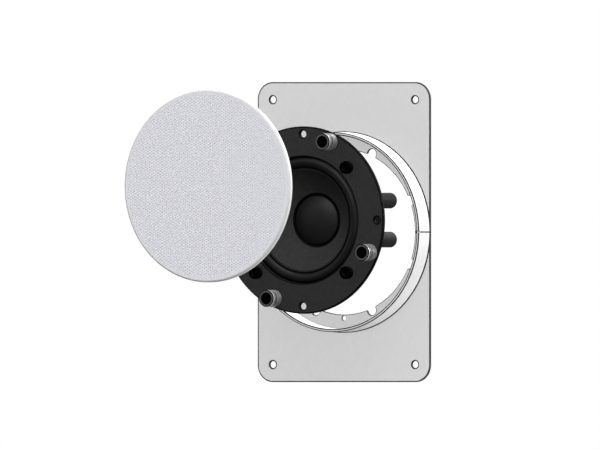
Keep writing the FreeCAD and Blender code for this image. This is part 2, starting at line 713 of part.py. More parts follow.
def terminal_box():
    """Moulded box on the back of the baffle, open towards the basket."""
    half = BOX_WIDTH / 2
    wall = BOX_WALL
    shell = box(BOX_INNER_FACE, BOX_OUTER_FACE, BAFFLE_THICKNESS, BOX_BACK, -half, half)
    cavity = box(
        BOX_INNER_FACE, BOX_OUTER_FACE - wall, BAFFLE_THICKNESS, BOX_BACK - wall, wall - half, half - wall
    )
    room = turned(
        (0, BAFFLE_THICKNESS),
        (LANDING_RADIUS + BOX_TO_BASKET, BAFFLE_THICKNESS),
        (LANDING_RADIUS + BOX_TO_BASKET, RIM_BACK + BOX_TO_BASKET),
        (wall_radius(RIM_BACK) + BOX_TO_BASKET, RIM_BACK + BOX_TO_BASKET),
        (wall_radius(BOX_BACK) + BOX_TO_BASKET, BOX_BACK),
        (0, BOX_BACK),
    )
    holes = [
        rod(TERMINAL_STUD_DIAMETER / 2 + STUD_FIT, BOX_BACK - wall, BOX_BACK, TERMINAL_OFFSET, z)
        for z in terminal_heights()
    ]
    notch_face = wall_radius(BOX_BACK - wall) + LUG_NOTCH_ROOM
    notch = box(0, notch_face, BAFFLE_THICKNESS, BOX_BACK, -LUG_NOTCH_WIDTH / 2, LUG_NOTCH_WIDTH / 2)
    shell = rounded_outside(shell, BOX_CORNER_RADIUS)
    cavity = rounded_outside(cavity, BOX_CORNER_RADIUS - wall)
    return shell.cut([cavity, room, notch] + holes)


def rounded_outside(block, radius):
    """Rounds the two edges of a block that run front to back on its outer face."""
    edges = [
        e
        for e in block.Edges
        if abs(e.BoundBox.Center.x - block.BoundBox.XMax) < TOUCHING
        and abs(e.tangentAt(e.FirstParameter).y) > PARALLEL
    ]
    return block.makeFillet(radius, edges)


def terminal_heights():
    """Z of the lower and upper binding post."""
    return (-TERMINAL_SPACING / 2, TERMINAL_SPACING / 2)


def terminal_cap(z):
    """Screw cap of a binding post, closed at its far end."""
    back = BOX_BACK + TERMINAL_CAP_LENGTH
    cap = rod(TERMINAL_CAP_DIAMETER / 2, BOX_BACK, back, TERMINAL_OFFSET, z)
    cap = cap.makeFillet(TERMINAL_CAP_ROUND, circles_at(cap, back))
    bore = rod(
        TERMINAL_STUD_DIAMETER / 2 + STUD_FIT, BOX_BACK, BOX_BACK + TERMINAL_STUD_DEPTH, TERMINAL_OFFSET, z
    )
    return cap.cut(bore)


def terminal_stud(z):
    """Brass stud through the box's back wall into the cap."""
    front = BOX_BACK - BOX_WALL - TERMINAL_STUD_TAIL
    back = BOX_BACK + TERMINAL_STUD_DEPTH - STUD_FIT
    return rod(TERMINAL_STUD_DIAMETER / 2, front, back, TERMINAL_OFFSET, z)


def terminal_nut(z):
    """Hexagonal nut that clamps a stud to the box's back wall."""
    inside = BOX_BACK - BOX_WALL
    nut = hexagon(TERMINAL_NUT_ACROSS_FLATS, inside - TERMINAL_NUT_THICKNESS, inside, TERMINAL_OFFSET, z)
    bore = rod(
        TERMINAL_STUD_DIAMETER / 2 + STUD_FIT, inside - TERMINAL_NUT_THICKNESS, inside, TERMINAL_OFFSET, z
    )
    return nut.cut(bore)


def on_spoke(along, out, z):
    """Point at the three o'clock spoke: along its slope from the strip's front end, and out from it."""
    tilt = math.atan(WALL_SLOPE)
    depth = RIM_BACK + STRIP_FROM_RIM
    x = wall_radius(depth) - along * math.sin(tilt) + out * math.cos(tilt)
    y = depth + along * math.cos(tilt) + out * math.sin(tilt)
    return (x, y, z)


def laid_on_spoke(shape):
    """Turns a shape modelled flat at the origin on to the spoke at three o'clock."""
    shape.rotate(ORIGIN, FreeCAD.Vector(0, 0, 1), math.degrees(math.atan(WALL_SLOPE)))
    return shape.translate(FreeCAD.Vector(*on_spoke(0, 0, 0)))


def lug_strip():
    """Insulating strip that holds the two solder lugs."""
    half = STRIP_WIDTH / 2
    return laid_on_spoke(box(GLUE_GAP, GLUE_GAP + STRIP_THICKNESS, 0, STRIP_LENGTH, -half, half))


def solder_lug(side):
    """Tinned tag riveted to the strip, with a hole for the tinsel lead."""
    z = side * LUG_SPACING / 2
    face = GLUE_GAP + STRIP_THICKNESS
    start = (STRIP_LENGTH - LUG_LENGTH) / 2
    half = LUG_WIDTH / 2
    tag = box(face, face + LUG_THICKNESS, start, start + LUG_LENGTH, z - half, z + half)
    centre = FreeCAD.Vector(face, start + LUG_LENGTH - half, z)
    hole = Part.makeCylinder(LUG_HOLE / 2, LUG_THICKNESS, centre, FreeCAD.Vector(1, 0, 0))
    return laid_on_spoke(tag.cut(hole))


def tinsel_lead(side):
    """Braided lead from the back of the cone, through a window, to its lug."""
    lug_face = GLUE_GAP + STRIP_THICKNESS + LUG_THICKNESS + TINSEL_DIAMETER / 2 + SOLDER_GAP
    lug_end = (STRIP_LENGTH + LUG_LENGTH) / 2 - LUG_WIDTH / 2
    lug_z = LUG_SPACING / 2
    cone_back = CONE_FRONT + CONE_DEPTH / 2 + CONE_BELLY + CONE_THICKNESS
    cone_x = (CONE_RADIUS - CONE_LIP_WIDTH + CAP_SEAT_RADIUS) / 2 - 0.6
    window_x = wall_radius(cone_back + 8.5)
    points = [
        (cone_x, cone_back + TINSEL_DIAMETER / 2 + SOLDER_GAP, side * 9.0),
        (cone_x + 0.5, cone_back + 4.8, side * 9.3),
        (window_x - 5.4, cone_back + 8.4, side * 10.0),
        (window_x + 0.7, cone_back + 8.7, side * 10.6),
        on_spoke(lug_end + 0.4, lug_face + 0.3, side * (lug_z + 3.5)),
        on_spoke(lug_end, lug_face, side * (lug_z - 0.4)),
    ]
    return lead(points, TINSEL_DIAMETER)


def hookup_wire(side):
    """Insulated wire from a lug to the front end of its stud, inside the terminal box."""
    lug_face = GLUE_GAP + STRIP_THICKNESS + LUG_THICKNESS + WIRE_DIAMETER / 2 + SOLDER_GAP
    stud_front = BOX_BACK - BOX_WALL - TERMINAL_STUD_TAIL
    stud_z = TERMINAL_SPACING / 2
    points = [
        on_spoke(-0.3, lug_face + 0.3, side * (LUG_SPACING / 2 - 0.6)),
        (TERMINAL_OFFSET - 0.7, stud_front - 3.8, side * (stud_z - 6.0)),
        (TERMINAL_OFFSET - 0.3, stud_front - 5.8, side * (stud_z - 3.5)),
        (TERMINAL_OFFSET, stud_front - 4.2, side * stud_z),
        (TERMINAL_OFFSET, stud_front - SOLDER_GAP, side * stud_z),
    ]
    return lead(points, WIRE_DIAMETER)


def grille_sheet():
    """Pressed disc with a rounded corner and a turned-back rim."""
    outer = GRILLE_RADIUS
    wall = GRILLE_THICKNESS
    bend = GRILLE_CORNER_RADIUS
    inner_bend = bend - wall
    swing = math.sqrt(0.5)
    return turned(
        (0, 0),
        (outer - bend, 0),
        ((outer - bend + bend * swing, bend - bend * swing), (outer, bend)),
        (outer, GRILLE_RIM_DEPTH),
        (outer - wall, GRILLE_RIM_DEPTH),
        (outer - wall, bend),
        ((outer - bend + inner_bend * swing, bend - inner_bend * swing), (outer - bend, wall)),
        (0, wall),
    )


def grille_scrim():
    """Acoustic cloth glued to the back of the grille."""
    radius = GRILLE_RADIUS - GRILLE_THICKNESS - GRILLE_CORNER_RADIUS - SCRIM_MARGIN
    return rod(radius, GRILLE_THICKNESS, GRILLE_THICKNESS + SCRIM_THICKNESS)


def save(name, shapes, y=0.0, z=0.0):
    """Carries the solids to their place and writes them as one node."""
    solids = []
    for shape in shapes:
        shape.translate(FreeCAD.Vector(0, y, z))
        solids.extend(shape.Solids)
    node = solids[0] if len(solids) == 1 else Part.makeCompound(solids)
    if not node.isValid():
        raise ValueError(name + " is not a valid solid")
    node.exportStep("parts/" + name + ".step")
    print(name, len(solids), round(node.Volume, 1))


def save_unit(name, *shapes):
    """Writes a node of the speaker unit."""
    save(name, shapes, UNIT_Y, UNIT_Z)


def main():
    os.makedirs("parts", exist_ok=True)
    save("mounting_plate", [mounting_plate()])
    save("plaster_ring", [plaster_ring()])

    save_unit("baffle_ring", baffle_ring())
    posts = on_circle(POST_CIRCLE, POST_COUNT, POST_FIRST_ANGLE)
    for number, (x, z) in enumerate(posts, 1):
        save_unit(f"grille_post_{number}", grille_post(x, z))
        save_unit(f"post_magnet_{number}", post_magnet(x, z))
    save_unit("post_screws", *[post_screw(x, z) for x, z in posts])
    save_unit("driver_screws", *[driver_screw(x, z) for x, z in driver_screw_places()])

    save_unit("basket", basket())
    save_unit("surround", surround())
    save_unit("spider", spider())
    save_unit("cone", cone())
    save_unit("dust_cap", dust_cap())
    save_unit("voice_coil_former", voice_coil_former())
    save_unit("voice_coil", voice_coil())
    save_unit("top_plate", top_plate())
    save_unit("magnet_ring", magnet_ring())
    save_unit("pole_yoke", pole_yoke())

    save_unit("terminal_box", terminal_box())
    for name, z in zip(("lower", "upper"), terminal_heights()):
        save_unit("terminal_cap_" + name, terminal_cap(z))
        save_unit("terminal_stud_" + name, terminal_stud(z))
    save_unit("terminal_nuts", *[terminal_nut(z) for z in terminal_heights()])
    save_unit("lug_strip", lug_strip())
    save_unit("solder_lugs", *[solder_lug(side) for side in (-1, 1)])
    for name, side in (("lower", -1), ("upper", 1)):
        save_unit("tinsel_lead_" + name, tinsel_lead(side))
        save_unit("hookup_wire_" + name, hookup_wire(side))

    save("grille_sheet", [grille_sheet()], GRILLE_Y, GRILLE_Z)
    save("grille_scrim", [grille_scrim()], GRILLE_Y, GRILLE_Z)


main()
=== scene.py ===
import math

import bmesh
import bpy
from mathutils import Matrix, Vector
from mathutils.geometry import delaunay_2d_cdt


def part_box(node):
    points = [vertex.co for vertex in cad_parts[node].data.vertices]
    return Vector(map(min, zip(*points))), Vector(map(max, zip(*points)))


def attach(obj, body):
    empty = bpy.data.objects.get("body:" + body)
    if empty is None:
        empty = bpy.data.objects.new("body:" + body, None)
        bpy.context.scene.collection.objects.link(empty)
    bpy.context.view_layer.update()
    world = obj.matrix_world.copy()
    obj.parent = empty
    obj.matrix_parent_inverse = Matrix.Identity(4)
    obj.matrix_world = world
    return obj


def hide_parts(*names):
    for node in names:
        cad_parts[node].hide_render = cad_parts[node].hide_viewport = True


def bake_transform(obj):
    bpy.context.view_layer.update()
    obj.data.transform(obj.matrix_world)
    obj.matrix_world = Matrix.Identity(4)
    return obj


# Looks of an in-wall loudspeaker drawn apart: plate and plaster ring, speaker unit, round grille.
# Forms are written in millimetres and turned into metres when a mesh is made.
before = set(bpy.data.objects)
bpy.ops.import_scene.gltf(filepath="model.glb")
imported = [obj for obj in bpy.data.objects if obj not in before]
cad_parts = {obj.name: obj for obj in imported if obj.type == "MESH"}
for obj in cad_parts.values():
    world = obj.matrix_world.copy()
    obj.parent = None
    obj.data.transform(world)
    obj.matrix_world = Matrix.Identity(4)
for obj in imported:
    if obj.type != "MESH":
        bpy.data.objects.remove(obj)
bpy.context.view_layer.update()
MM = 0.001

# The photograph's view: turned about the vertical, at eye level, with no perspective
VIEW_TURN = 30.5
VIEW_WIDTH = 0.4
VIEW_DISTANCE = 1.5
VIEW_SIDE_SHIFT = -0.02927
VIEW_RISE = 0.00507
VIEW_NEAREST = 0.01
VIEW_FARTHEST = 20
FLOOR_HEIGHT = -0.1001
FLOOR_SIZE = 6.0

# An edge sharper than this stays crisp
SHARP_ANGLE = math.radians(32)

# How a flat face is filled, and how close two of its points are when they count as one
INSIDE_WITH_HOLES = 2
MERGE_DISTANCE = 1e-6

# Light. A lamp is (name, turn to the right, height above the horizon, size, power, casts shadows)
SKY_ABOVE = 0.16
SKY_BELOW = 0.12
SKY_BRIGHTEST_HEIGHT = 0.8
SKY_DIMMEST_HEIGHT = -0.5
FLOOR_SHOWN = 244
FLOOR_BOUNCE = 120
LAMP_AIM = (0, -0.06, 0)
LAMP_DISTANCE = 8.0
LAMPS = (
    ("key", 14, 45, 4.8, 32, True),
    ("key_open", 14, 45, 4.8, 490, False),
    ("front_open", 12, 36, 4.8, 305, False),
    ("side_open", 84, 4, 4.8, 480, False),
    ("top_open", 30, 85, 4.8, 350, False),
    ("back_open", 170, 25, 4.8, 560, False),
)

# Steps round a full turn
FINE = 240
MEDIUM = 96
SMALL = 48

# Steps along the arcs of a profile or an outline
CORNER_STEPS = 12
OPENING_STEPS = 28
NOTCH_TIP_STEPS = 4
NOTCH_STEPS = 14
ROLL_FRONT_STEPS = 28
ROLL_BACK_STEPS = 20
CONE_WALL_STEPS = 40
DOME_STEPS = 24
WAVE_STEPS = 16
BEND_OUTSIDE_STEPS = 8
BEND_INSIDE_STEPS = 5

# Skins. The mottle and the uneven gloss are this many times as coarse as the grain
MOTTLE_COARSENESS = 8
GLOSS_COARSENESS = 3
GLOSS_SPREAD = 0.06
FUZZ_GRAIN = 9000
FUZZ_SHARE = 0.5

# Mounting plate. A hole's burr stands in from its wall
PLATE_CORNER_RADIUS = 11.5
PLATE_SCREW_HOLE = 5.2
PLATE_SCREW_INSET = 11.7
OPENING_RADIUS = 55.0
NOTCH_COUNT = 8
NOTCH_RADIUS = 3.3
NOTCH_EDGE_ROUND = 1.0
PILOT_HOLE = 3.8
# The dark ring on the plate round the plaster ring's foot is painted contact shade
RING_CONTACT_SHADE_RADIUS = 66.85
RING_CONTACT_SHADE_WIDTH = 0.7
CUT_EDGE_WIDTH = 0.82
OPENING_EDGE_WIDTH = 0.45
HOLE_EDGE_WIDTH = 0.55
HOLE_BURR = 0.2
CUT_EDGE_DROP = 0.12

# Plaster ring. Its wall is as thick as the photograph's two rim lines ask, more than in the CAD
RING_WALL = 2.0
RING_SEAM = 0.4
RING_EDGE_BREAK = 0.25
RING_RIM_BAND = 0.55
RING_INNER_LINE = 0.72
# The foot band of each ring wall is painted contact shade where the ring stands on the plate
RING_FOOT_SHADE_BAND = 0.9
RING_SEAM_LINE = 0.35

# Speaker unit, in depths behind the baffle's front face
FIXING_CIRCLE_RADIUS = 57.4
FIXING_HOLE_COUNT = 4
BAFFLE_EDGE_BREAK = 0.5
BAFFLE_EDGE_LINE = 0.5
BAFFLE_SCREW_HOLE = 4.6
BAFFLE_COUNTERSINK = 6.4
POST_CIRCLE_RADIUS = 56.5
POST_COUNT = 4
POST_FIRST_ANGLE = 22.5
POST_HEAD_RADIUS = 5.7
POST_RIM_WIDTH = 0.6
# The dark line round the post's foot is painted contact shade where it stands on the baffle
POST_BASE_SHADE_LINE = 0.6
POST_FRONT_LINE = 0.5
POST_NECK_RADIUS = 4.7
POST_POCKET_RADIUS = 4.05
POST_POCKET_DEPTH = 4.8
POST_FOOT_LENGTH = 6.1
POST_NECK_LENGTH = 1.5
POST_LIP_LENGTH = 1.4
POST_GROOVE_WIDTH = 0.7
POST_GROOVE_DEPTH = 0.5
POST_SCREW_RADIUS = 1.5
DRIVER_SCREW_CIRCLE_RADIUS = 49.6
DRIVER_SCREW_COUNT = 4
DRIVER_SCREW_FIRST_ANGLE = 45.0
DRIVER_SCREW_RADIUS = 2.5
SURROUND_OUTER_RADIUS = 42.2
SURROUND_INNER_RADIUS = 35.6
SURROUND_LANDING_RADIUS = 45.8
SURROUND_THICKNESS = 0.5
SURROUND_ROLL_HEIGHT = 2.5
SURROUND_SHADOW_LINE = 0.4
SURROUND_GLUE_AND_SHADE_LINE = 1.0
SURROUND_LIP_STEP = 0.1
CONE_FRONT = 2.85
CONE_LIP_WIDTH = 2.0
CONE_DEPTH = 15.9
CONE_THICKNESS = 0.5
CONE_BELLY = 0.9
CAP_RADIUS = 16.0
CAP_HEIGHT = 4.3
CAP_FLANGE_WIDTH = 2.2
CAP_THICKNESS = 0.4
GLUE_GAP = 0.15
COIL_OUTER_RADIUS = 12.95
SPIDER_SEAT = 26.1
SPIDER_OUTER_RADIUS = 31.25
SPIDER_LANDING = 3.0
SPIDER_THICKNESS = 0.4
SPIDER_WAVE = 0.8
SPIDER_WAVES = 3

# Cap screws of the driver
SCREW_HEAD_RADIUS = 4.25
SCREW_HEAD_HEIGHT = 5.0
SCREW_EDGE = 0.6
SCREW_SOCKET = 4.0
SCREW_SOCKET_DEPTH = 2.6
SCREW_LENGTH = 8.0
SCREW_KNURL = 0.14

# Tinsel leads, from the cone to the solder lugs
TINSEL_DIAMETER = 0.9
TINSEL_ROUTE = (
    (25.3, 12.8, 9.0),
    (25.8, 17.0, 9.3),
    (30.4, 20.6, 10.0),
    (36.5, 20.9, 10.6),
    (39.5, 19.6, 7.5),
    (39.4, 19.1, 3.6),
)

# Grille
GRILLE_THICKNESS = 0.8
GRILLE_CORNER_RADIUS = 1.3
GRILLE_PITCH = 1.88
GRILLE_HOLE_ACROSS = 1.2
GRILLE_BORDER = 1.7


def linear(level):
    """Linear light of an sRGB level from 0 to 255."""
    share = level / 255
    return share / 12.92 if share <= 0.04045 else ((share + 0.055) / 1.055) ** 2.4


def rgb(*levels):
    """Linear colour of three sRGB levels, or of one grey level."""
    levels = levels * 3 if len(levels) == 1 else levels
    return tuple(linear(v) for v in levels) + (1.0,)


class Surface:
    """A procedural material, built up from noise that rides on the piece."""

    def __init__(self, name, roughness=0.5, metallic=0.0, specular=0.5):
        self.material = bpy.data.materials.new(name)
        self.material.use_nodes = True
        self.nodes = self.material.node_tree.nodes
        self.links = self.material.node_tree.links
        self.shader = self.nodes["Principled BSDF"]
        self.set("Roughness", roughness)
        self.set("Metallic", metallic)
        self.set("Specular IOR Level", specular)
        self.place = self.nodes.new("ShaderNodeTexCoord").outputs["Object"]

    def set(self, socket, value):
        self.shader.inputs[socket].default_value = value

    def noise(self, scale, detail=3.0):
        """Noise with features of 1 / scale metres."""
        texture = self.nodes.new("ShaderNodeTexNoise")
        texture.inputs["Scale"].default_value = scale
        texture.inputs["Detail"].default_value = detail
        self.links.new(self.place, texture.inputs["Vector"])
        return texture.outputs["Fac"]

    def colours(self, fac, low, high, start=0.3, end=0.7):
        """Base colour that runs between two colours."""
        ramp = self.nodes.new("ShaderNodeValToRGB")
        ramp.color_ramp.elements[0].position = start
        ramp.color_ramp.elements[0].color = low
        ramp.color_ramp.elements[1].position = end
        ramp.color_ramp.elements[1].color = high
        self.links.new(fac, ramp.inputs["Fac"])
        self.links.new(ramp.outputs["Color"], self.shader.inputs["Base Color"])

    def tint(self, fac, colour):
        """Base colour so far, turned into a colour where fac is 1."""
        blend = self.nodes.new("ShaderNodeMix")
        blend.data_type = "RGBA"
        blend.inputs[7].default_value = colour
        base = self.shader.inputs["Base Color"]
        self.links.new(base.links[0].from_socket, blend.inputs[6])
        self.links.new(fac, blend.inputs[0])
        self.links.new(blend.outputs[2], base)

    def polish(self, fac, low, high):
        """Roughness that runs between two values."""
        spread = self.nodes.new("ShaderNodeMapRange")
        spread.inputs["From Min"].default_value = 0.3
        spread.inputs["From Max"].default_value = 0.7
        spread.inputs["To Min"].default_value = low
        spread.inputs["To Max"].default_value = high
        self.links.new(fac, spread.inputs["Value"])
        self.links.new(spread.outputs["Result"], self.shader.inputs["Roughness"])

    def bump(self, fac, height):
        """Relief of a height in metres."""
        relief = self.nodes.new("ShaderNodeBump")
        relief.inputs["Distance"].default_value = height
        self.links.new(fac, relief.inputs["Height"])
        self.links.new(relief.outputs["Normal"], self.shader.inputs["Normal"])

    def radius(self):
        """Distance from the plate's axis."""
        x, _, z = self.axes()
        squares = self.math("ADD", self.math("MULTIPLY", x, x), self.math("MULTIPLY", z, z))
        return self.math("SQRT", squares)

    def waves(self, value, pitch):
        """0 to 1 to 0 ripple over a length in metres."""
        times = self.math("MULTIPLY", value, 2 * math.pi / pitch)
        return self.math("MULTIPLY_ADD", self.math("SINE", times), 0.5, 0.5)

    def math(self, operation, *values):
        """Math node over sockets and numbers."""
        node = self.nodes.new("ShaderNodeMath")
        node.operation = operation
        for slot, value in zip(node.inputs, values):
            if isinstance(value, (int, float)):
                slot.default_value = value
            else:
                self.links.new(value, slot)
        return node.outputs["Value"]

    def axes(self):
        """X, Y and Z of the place on the piece."""
        split = self.nodes.new("ShaderNodeSeparateXYZ")
        self.links.new(self.place, split.inputs["Vector"])
        return split.outputs["X"], split.outputs["Y"], split.outputs["Z"]


def coat(name, low, high, roughness, grain, relief, specular=0.5, metallic=0.0):
    """Painted, cast or moulded skin: a slight mottle, a fine grain and uneven gloss."""
    skin = Surface(name, specular=specular, metallic=metallic)
    skin.colours(skin.noise(grain / MOTTLE_COARSENESS, 4.0), low, high)
    skin.polish(skin.noise(grain / GLOSS_COARSENESS), roughness - GLOSS_SPREAD, roughness + GLOSS_SPREAD)
    skin.bump(skin.noise(grain, 2.0), relief)
    return skin


def coated(*values, **more):
    """Material of a coat."""
    return coat(*values, **more).material


def ring_paint(name, low, high, bounced):
    """White paint that throws little light on the plate that it stands on."""
    skin = coat(name, low, high, 0.6, 2200, 0.000015, specular=0.3)
    rays = skin.nodes.new("ShaderNodeLightPath")
    skin.tint(rays.outputs["Is Diffuse Ray"], bounced)
    return skin.material


def plate_coat(name, low, high, dark):
    """Powder coat with a painted dark line of contact shade where the plaster ring stands on the plate."""
    skin = coat(name, low, high, 0.6, 2600, 0.00002, specular=0.3)
    # Painted contact shade: a dark ring on the plate where the plaster ring stands
    on_contact_shade = skin.math("COMPARE", skin.radius(), RING_CONTACT_SHADE_RADIUS * MM, RING_CONTACT_SHADE_WIDTH / 2 * MM)
    skin.tint(on_contact_shade, dark)
    return skin.material


def woven(name, low, high, pitch, relief, roughness=0.85):
    """Plain weave in the plane of X and Z."""
    skin = Surface(name, roughness=roughness, specular=0.2)
    x, _, z = skin.axes()
    weave = skin.math("MULTIPLY", skin.waves(x, pitch), skin.waves(z, pitch))
    fuzz = skin.math("MULTIPLY_ADD", skin.noise(FUZZ_GRAIN, 2.0), FUZZ_SHARE, weave)
    skin.colours(fuzz, low, high, 0.15, 0.9)
    skin.bump(weave, relief)
    return skin.material


# Materials, as (name, two colours, roughness, grain, relief in metres)
PLATE = plate_coat("plate_powder_coat", rgb(200), rgb(203), rgb(52))
PLATE_BACK = coated("plate_back_powder_coat", rgb(200), rgb(203), 0.6, 2600, 0.00002, specular=0.3)
CUT_EDGE = coated("plate_cut_edge", rgb(44), rgb(56), 0.6, 3000, 0.00001, specular=0.15)
RING = ring_paint("ring_white_paint", rgb(238), rgb(243), rgb(90))
# Painted shade: the front face of the ring's rim is a grey copy of the white ring paint
RING_RIM_SHADE = coated("ring_rim_worn", rgb(196), rgb(208), 0.6, 3000, 0.00001, specular=0.2)
RING_EDGE = coated("ring_edge_dark", rgb(9), rgb(15), 0.6, 3000, 0.00001, specular=0.08)
HOLE_EDGE = coated("plate_hole_edge", rgb(14), rgb(20), 0.6, 3000, 0.00001, specular=0.1)
BAFFLE = coated("baffle_fine_texture", rgb(35), rgb(40), 0.62, 3200, 0.00003, specular=0.07)
BAFFLE_EDGE = coated("baffle_edge_black", rgb(1), rgb(4), 0.6, 3200, 0.00001, specular=0.04)
POST = coated("post_satin_metal", rgb(94), rgb(104), 0.32, 24000, 0.000002, specular=0.5, metallic=0.2)
# Painted highlight: a bright band on the post's lip
POST_LIP_HIGHLIGHT = coated("post_bright_lip", rgb(196), rgb(206), 0.3, 24000, 0.000002, specular=0.5, metallic=0.15)
# Dark front edge of the post, and painted contact shade round its foot
POST_DARK_EDGE_AND_SHADE = coated("post_dark_edge", rgb(4), rgb(8), 0.6, 9000, 0.000002, specular=0.05)
# Painted shade in the post's groove and neck
POST_NECK_SHADE = coated("post_dark_neck", rgb(40), rgb(48), 0.45, 9000, 0.000002, specular=0.2)
POST_FACE = coated("post_front_face", rgb(60), rgb(68), 0.5, 9000, 0.000002, specular=0.2)
# Painted shade: the posts' pockets and the screws' sockets are lined near-black
POCKET_SHADE = coated("post_pocket_black", rgb(0), rgb(2), 0.7, 4200, 0.000004, specular=0.01)
MAGNET = coated("post_magnet_black", rgb(0), rgb(3), 0.7, 3800, 0.00001, specular=0.01)
OXIDE = coated("screw_black_oxide", rgb(1), rgb(3), 0.8, 5200, 0.000006, specular=0.005)
ZINC = coated("zinc_plated_steel", rgb(158), rgb(170), 0.4, 5200, 0.000006, metallic=0.85)
CAST = coated("basket_black_cast", rgb(28), rgb(38), 0.55, 2400, 0.00005, specular=0.3)
RUBBER = coated("surround_rubber", rgb(7), rgb(10), 0.4, 5200, 0.00001, specular=0.13)
PAPER = coated("cone_black_paper", rgb(37), rgb(43), 0.7, 2600, 0.00003, specular=0.015)
# Painted shade: the cone's lip by the roll is a darker copy of the cone paper
PAPER_LIP_SHADE = coated("cone_lip_paper", rgb(26), rgb(31), 0.7, 2600, 0.00003, specular=0.015)
CAP_PAPER = coated("cap_black_paper", rgb(14), rgb(18), 0.4, 3000, 0.000008, specular=0.12)
# Black glue at the dust cap's flange and on the cone's lip; the same black is painted shadow on the roll's
# outer edge, and the lip band is widened into painted shade at the roll's inner foot
GLUE_AND_SHADE_BLACK = coated("glue_line_black", rgb(0), rgb(2), 0.6, 3800, 0.00001, specular=0.02)
FERRITE = coated("ferrite_ring", rgb(44), rgb(58), 0.6, 3200, 0.00003, specular=0.3)
# Black plastic, made darker still as painted shade, since the shadowless lamps light the box inside the
# unit
MOULDED = coated("terminal_box_plastic", rgb(5), rgb(9), 0.6, 3200, 0.00002, specular=0.015)
CAP_PLASTIC = coated("terminal_cap_plastic", rgb(31), rgb(37), 0.6, 4200, 0.00001, specular=0.05)
BRASS = coated("turned_brass", rgb(196, 158, 84), rgb(214, 178, 104), 0.3, 4200, 0.000006, metallic=1.0)
TINNED = coated("tinned_brass", rgb(196, 192, 180), rgb(212, 208, 198), 0.32, 4200, 0.000006, metallic=1.0)
BOARD = coated("lug_board", rgb(120, 84, 50), rgb(140, 100, 62), 0.6, 2600, 0.00002)
COPPER = coated("copper_winding", rgb(168, 92, 50), rgb(190, 110, 66), 0.35, 5200, 0.00001, metallic=0.9)
FOIL = coated("former_foil", rgb(176), rgb(196), 0.3, 2600, 0.000008, metallic=0.9)
JACKET = coated("wire_jacket_black", rgb(30), rgb(36), 0.45, 4200, 0.000008)
TINSEL = coated("tinsel_braid", rgb(170, 150, 110), rgb(205, 186, 140), 0.4, 7000, 0.00003, metallic=0.7)
SPIDER = woven("spider_cloth", rgb(168, 140, 84), rgb(206, 178, 118), 0.0007, 0.00008)
SCRIM = woven("scrim_cloth", rgb(188, 188, 194), rgb(203, 203, 209), 0.0006, 0.00005)
GRILLE = coated(
    "grille_light_coat", rgb(202, 202, 207), rgb(206, 206, 210), 0.55, 3000, 0.00001, specular=0.25
)
# Painted shade: the hole walls are a darker copy of the grille coat
GRILLE_HOLE_SHADE = coated(
    "grille_hole_wall", rgb(163, 163, 168), rgb(169, 169, 173), 0.55, 3000, 0.00001, specular=0.1
)
# Painted shade: the bend is a darker copy of the grille coat
GRILLE_BEND_SHADE = coated(
    "grille_bend_coat", rgb(188, 189, 193), rgb(193, 194, 198), 0.55, 3000, 0.00001, specular=0.2
)
# Painted light: the turned-back rim is a lighter copy of the grille coat
GRILLE_RIM_LIGHT = coated("grille_rim_white", rgb(226), rgb(232), 0.5, 3000, 0.00001, specular=0.2)


def polar(x, z, radius, turn):
    """Point at a radius from a centre, turned clockwise from the top as seen from the front."""
    return x + radius * math.sin(turn), z + radius * math.cos(turn)


def circle(radius, steps=FINE, x=0.0, z=0.0):
    """Points round a circle."""
    return [polar(x, z, radius, 2 * math.pi * n / steps) for n in range(steps)]


def arc(x, z, radius, start, sweep, steps):
    """Points along an arc, both ends included."""
    return [polar(x, z, radius, start + sweep * n / steps) for n in range(steps + 1)]


def fluted(radius, groove, steps, x, z):
    """Circle whose every second point is pressed in, for a knurled head."""
    whole = circle(radius, steps, x, z)
    pressed = circle(radius - groove, steps, x, z)
    return [(pressed if n % 2 else whole)[n] for n in range(steps)]


def hexagon(across_flats, steps, x, z):
    """Hexagon with points spread along its sides, steps being a multiple of six."""
    points = []
    for n in range(steps):
        turn = 2 * math.pi * n / steps
        off_flat = (turn + math.pi / 6) % (math.pi / 3) - math.pi / 6
        radius = across_flats / 2 / math.cos(math.pi / 6 - abs(off_flat))
        points.append(polar(x, z, radius, turn))
    return points


def bend(start, middle, end, steps):
    """Points of the arc from start through middle to end, both ends included."""
    (ax, ay), (bx, by), (cx, cy) = start, middle, end
    d = 2 * (ax * (by - cy) + bx * (cy - ay) + cx * (ay - by))
    a2, b2, c2 = ax * ax + ay * ay, bx * bx + by * by, cx * cx + cy * cy
    ux = (a2 * (by - cy) + b2 * (cy - ay) + c2 * (ay - by)) / d
    uy = (a2 * (cx - bx) + b2 * (ax - cx) + c2 * (bx - ax)) / d
    radius = math.hypot(ax - ux, ay - uy)
    first = math.atan2(ay - uy, ax - ux)
    last = math.atan2(cy - uy, cx - ux)
    half_way = math.atan2(by - uy, bx - ux)
    sweep = (last - first) % (2 * math.pi)
    if (half_way - first) % (2 * math.pi) > sweep:
        sweep -= 2 * math.pi
    turns = [first + sweep * n / steps for n in range(steps + 1)]
    return [(ux + radius * math.cos(t), uy + radius * math.sin(t)) for t in turns]


def clad(points, skin):
    """Profile points that share a material."""
    return [(radius, depth, skin) for radius, depth in points]


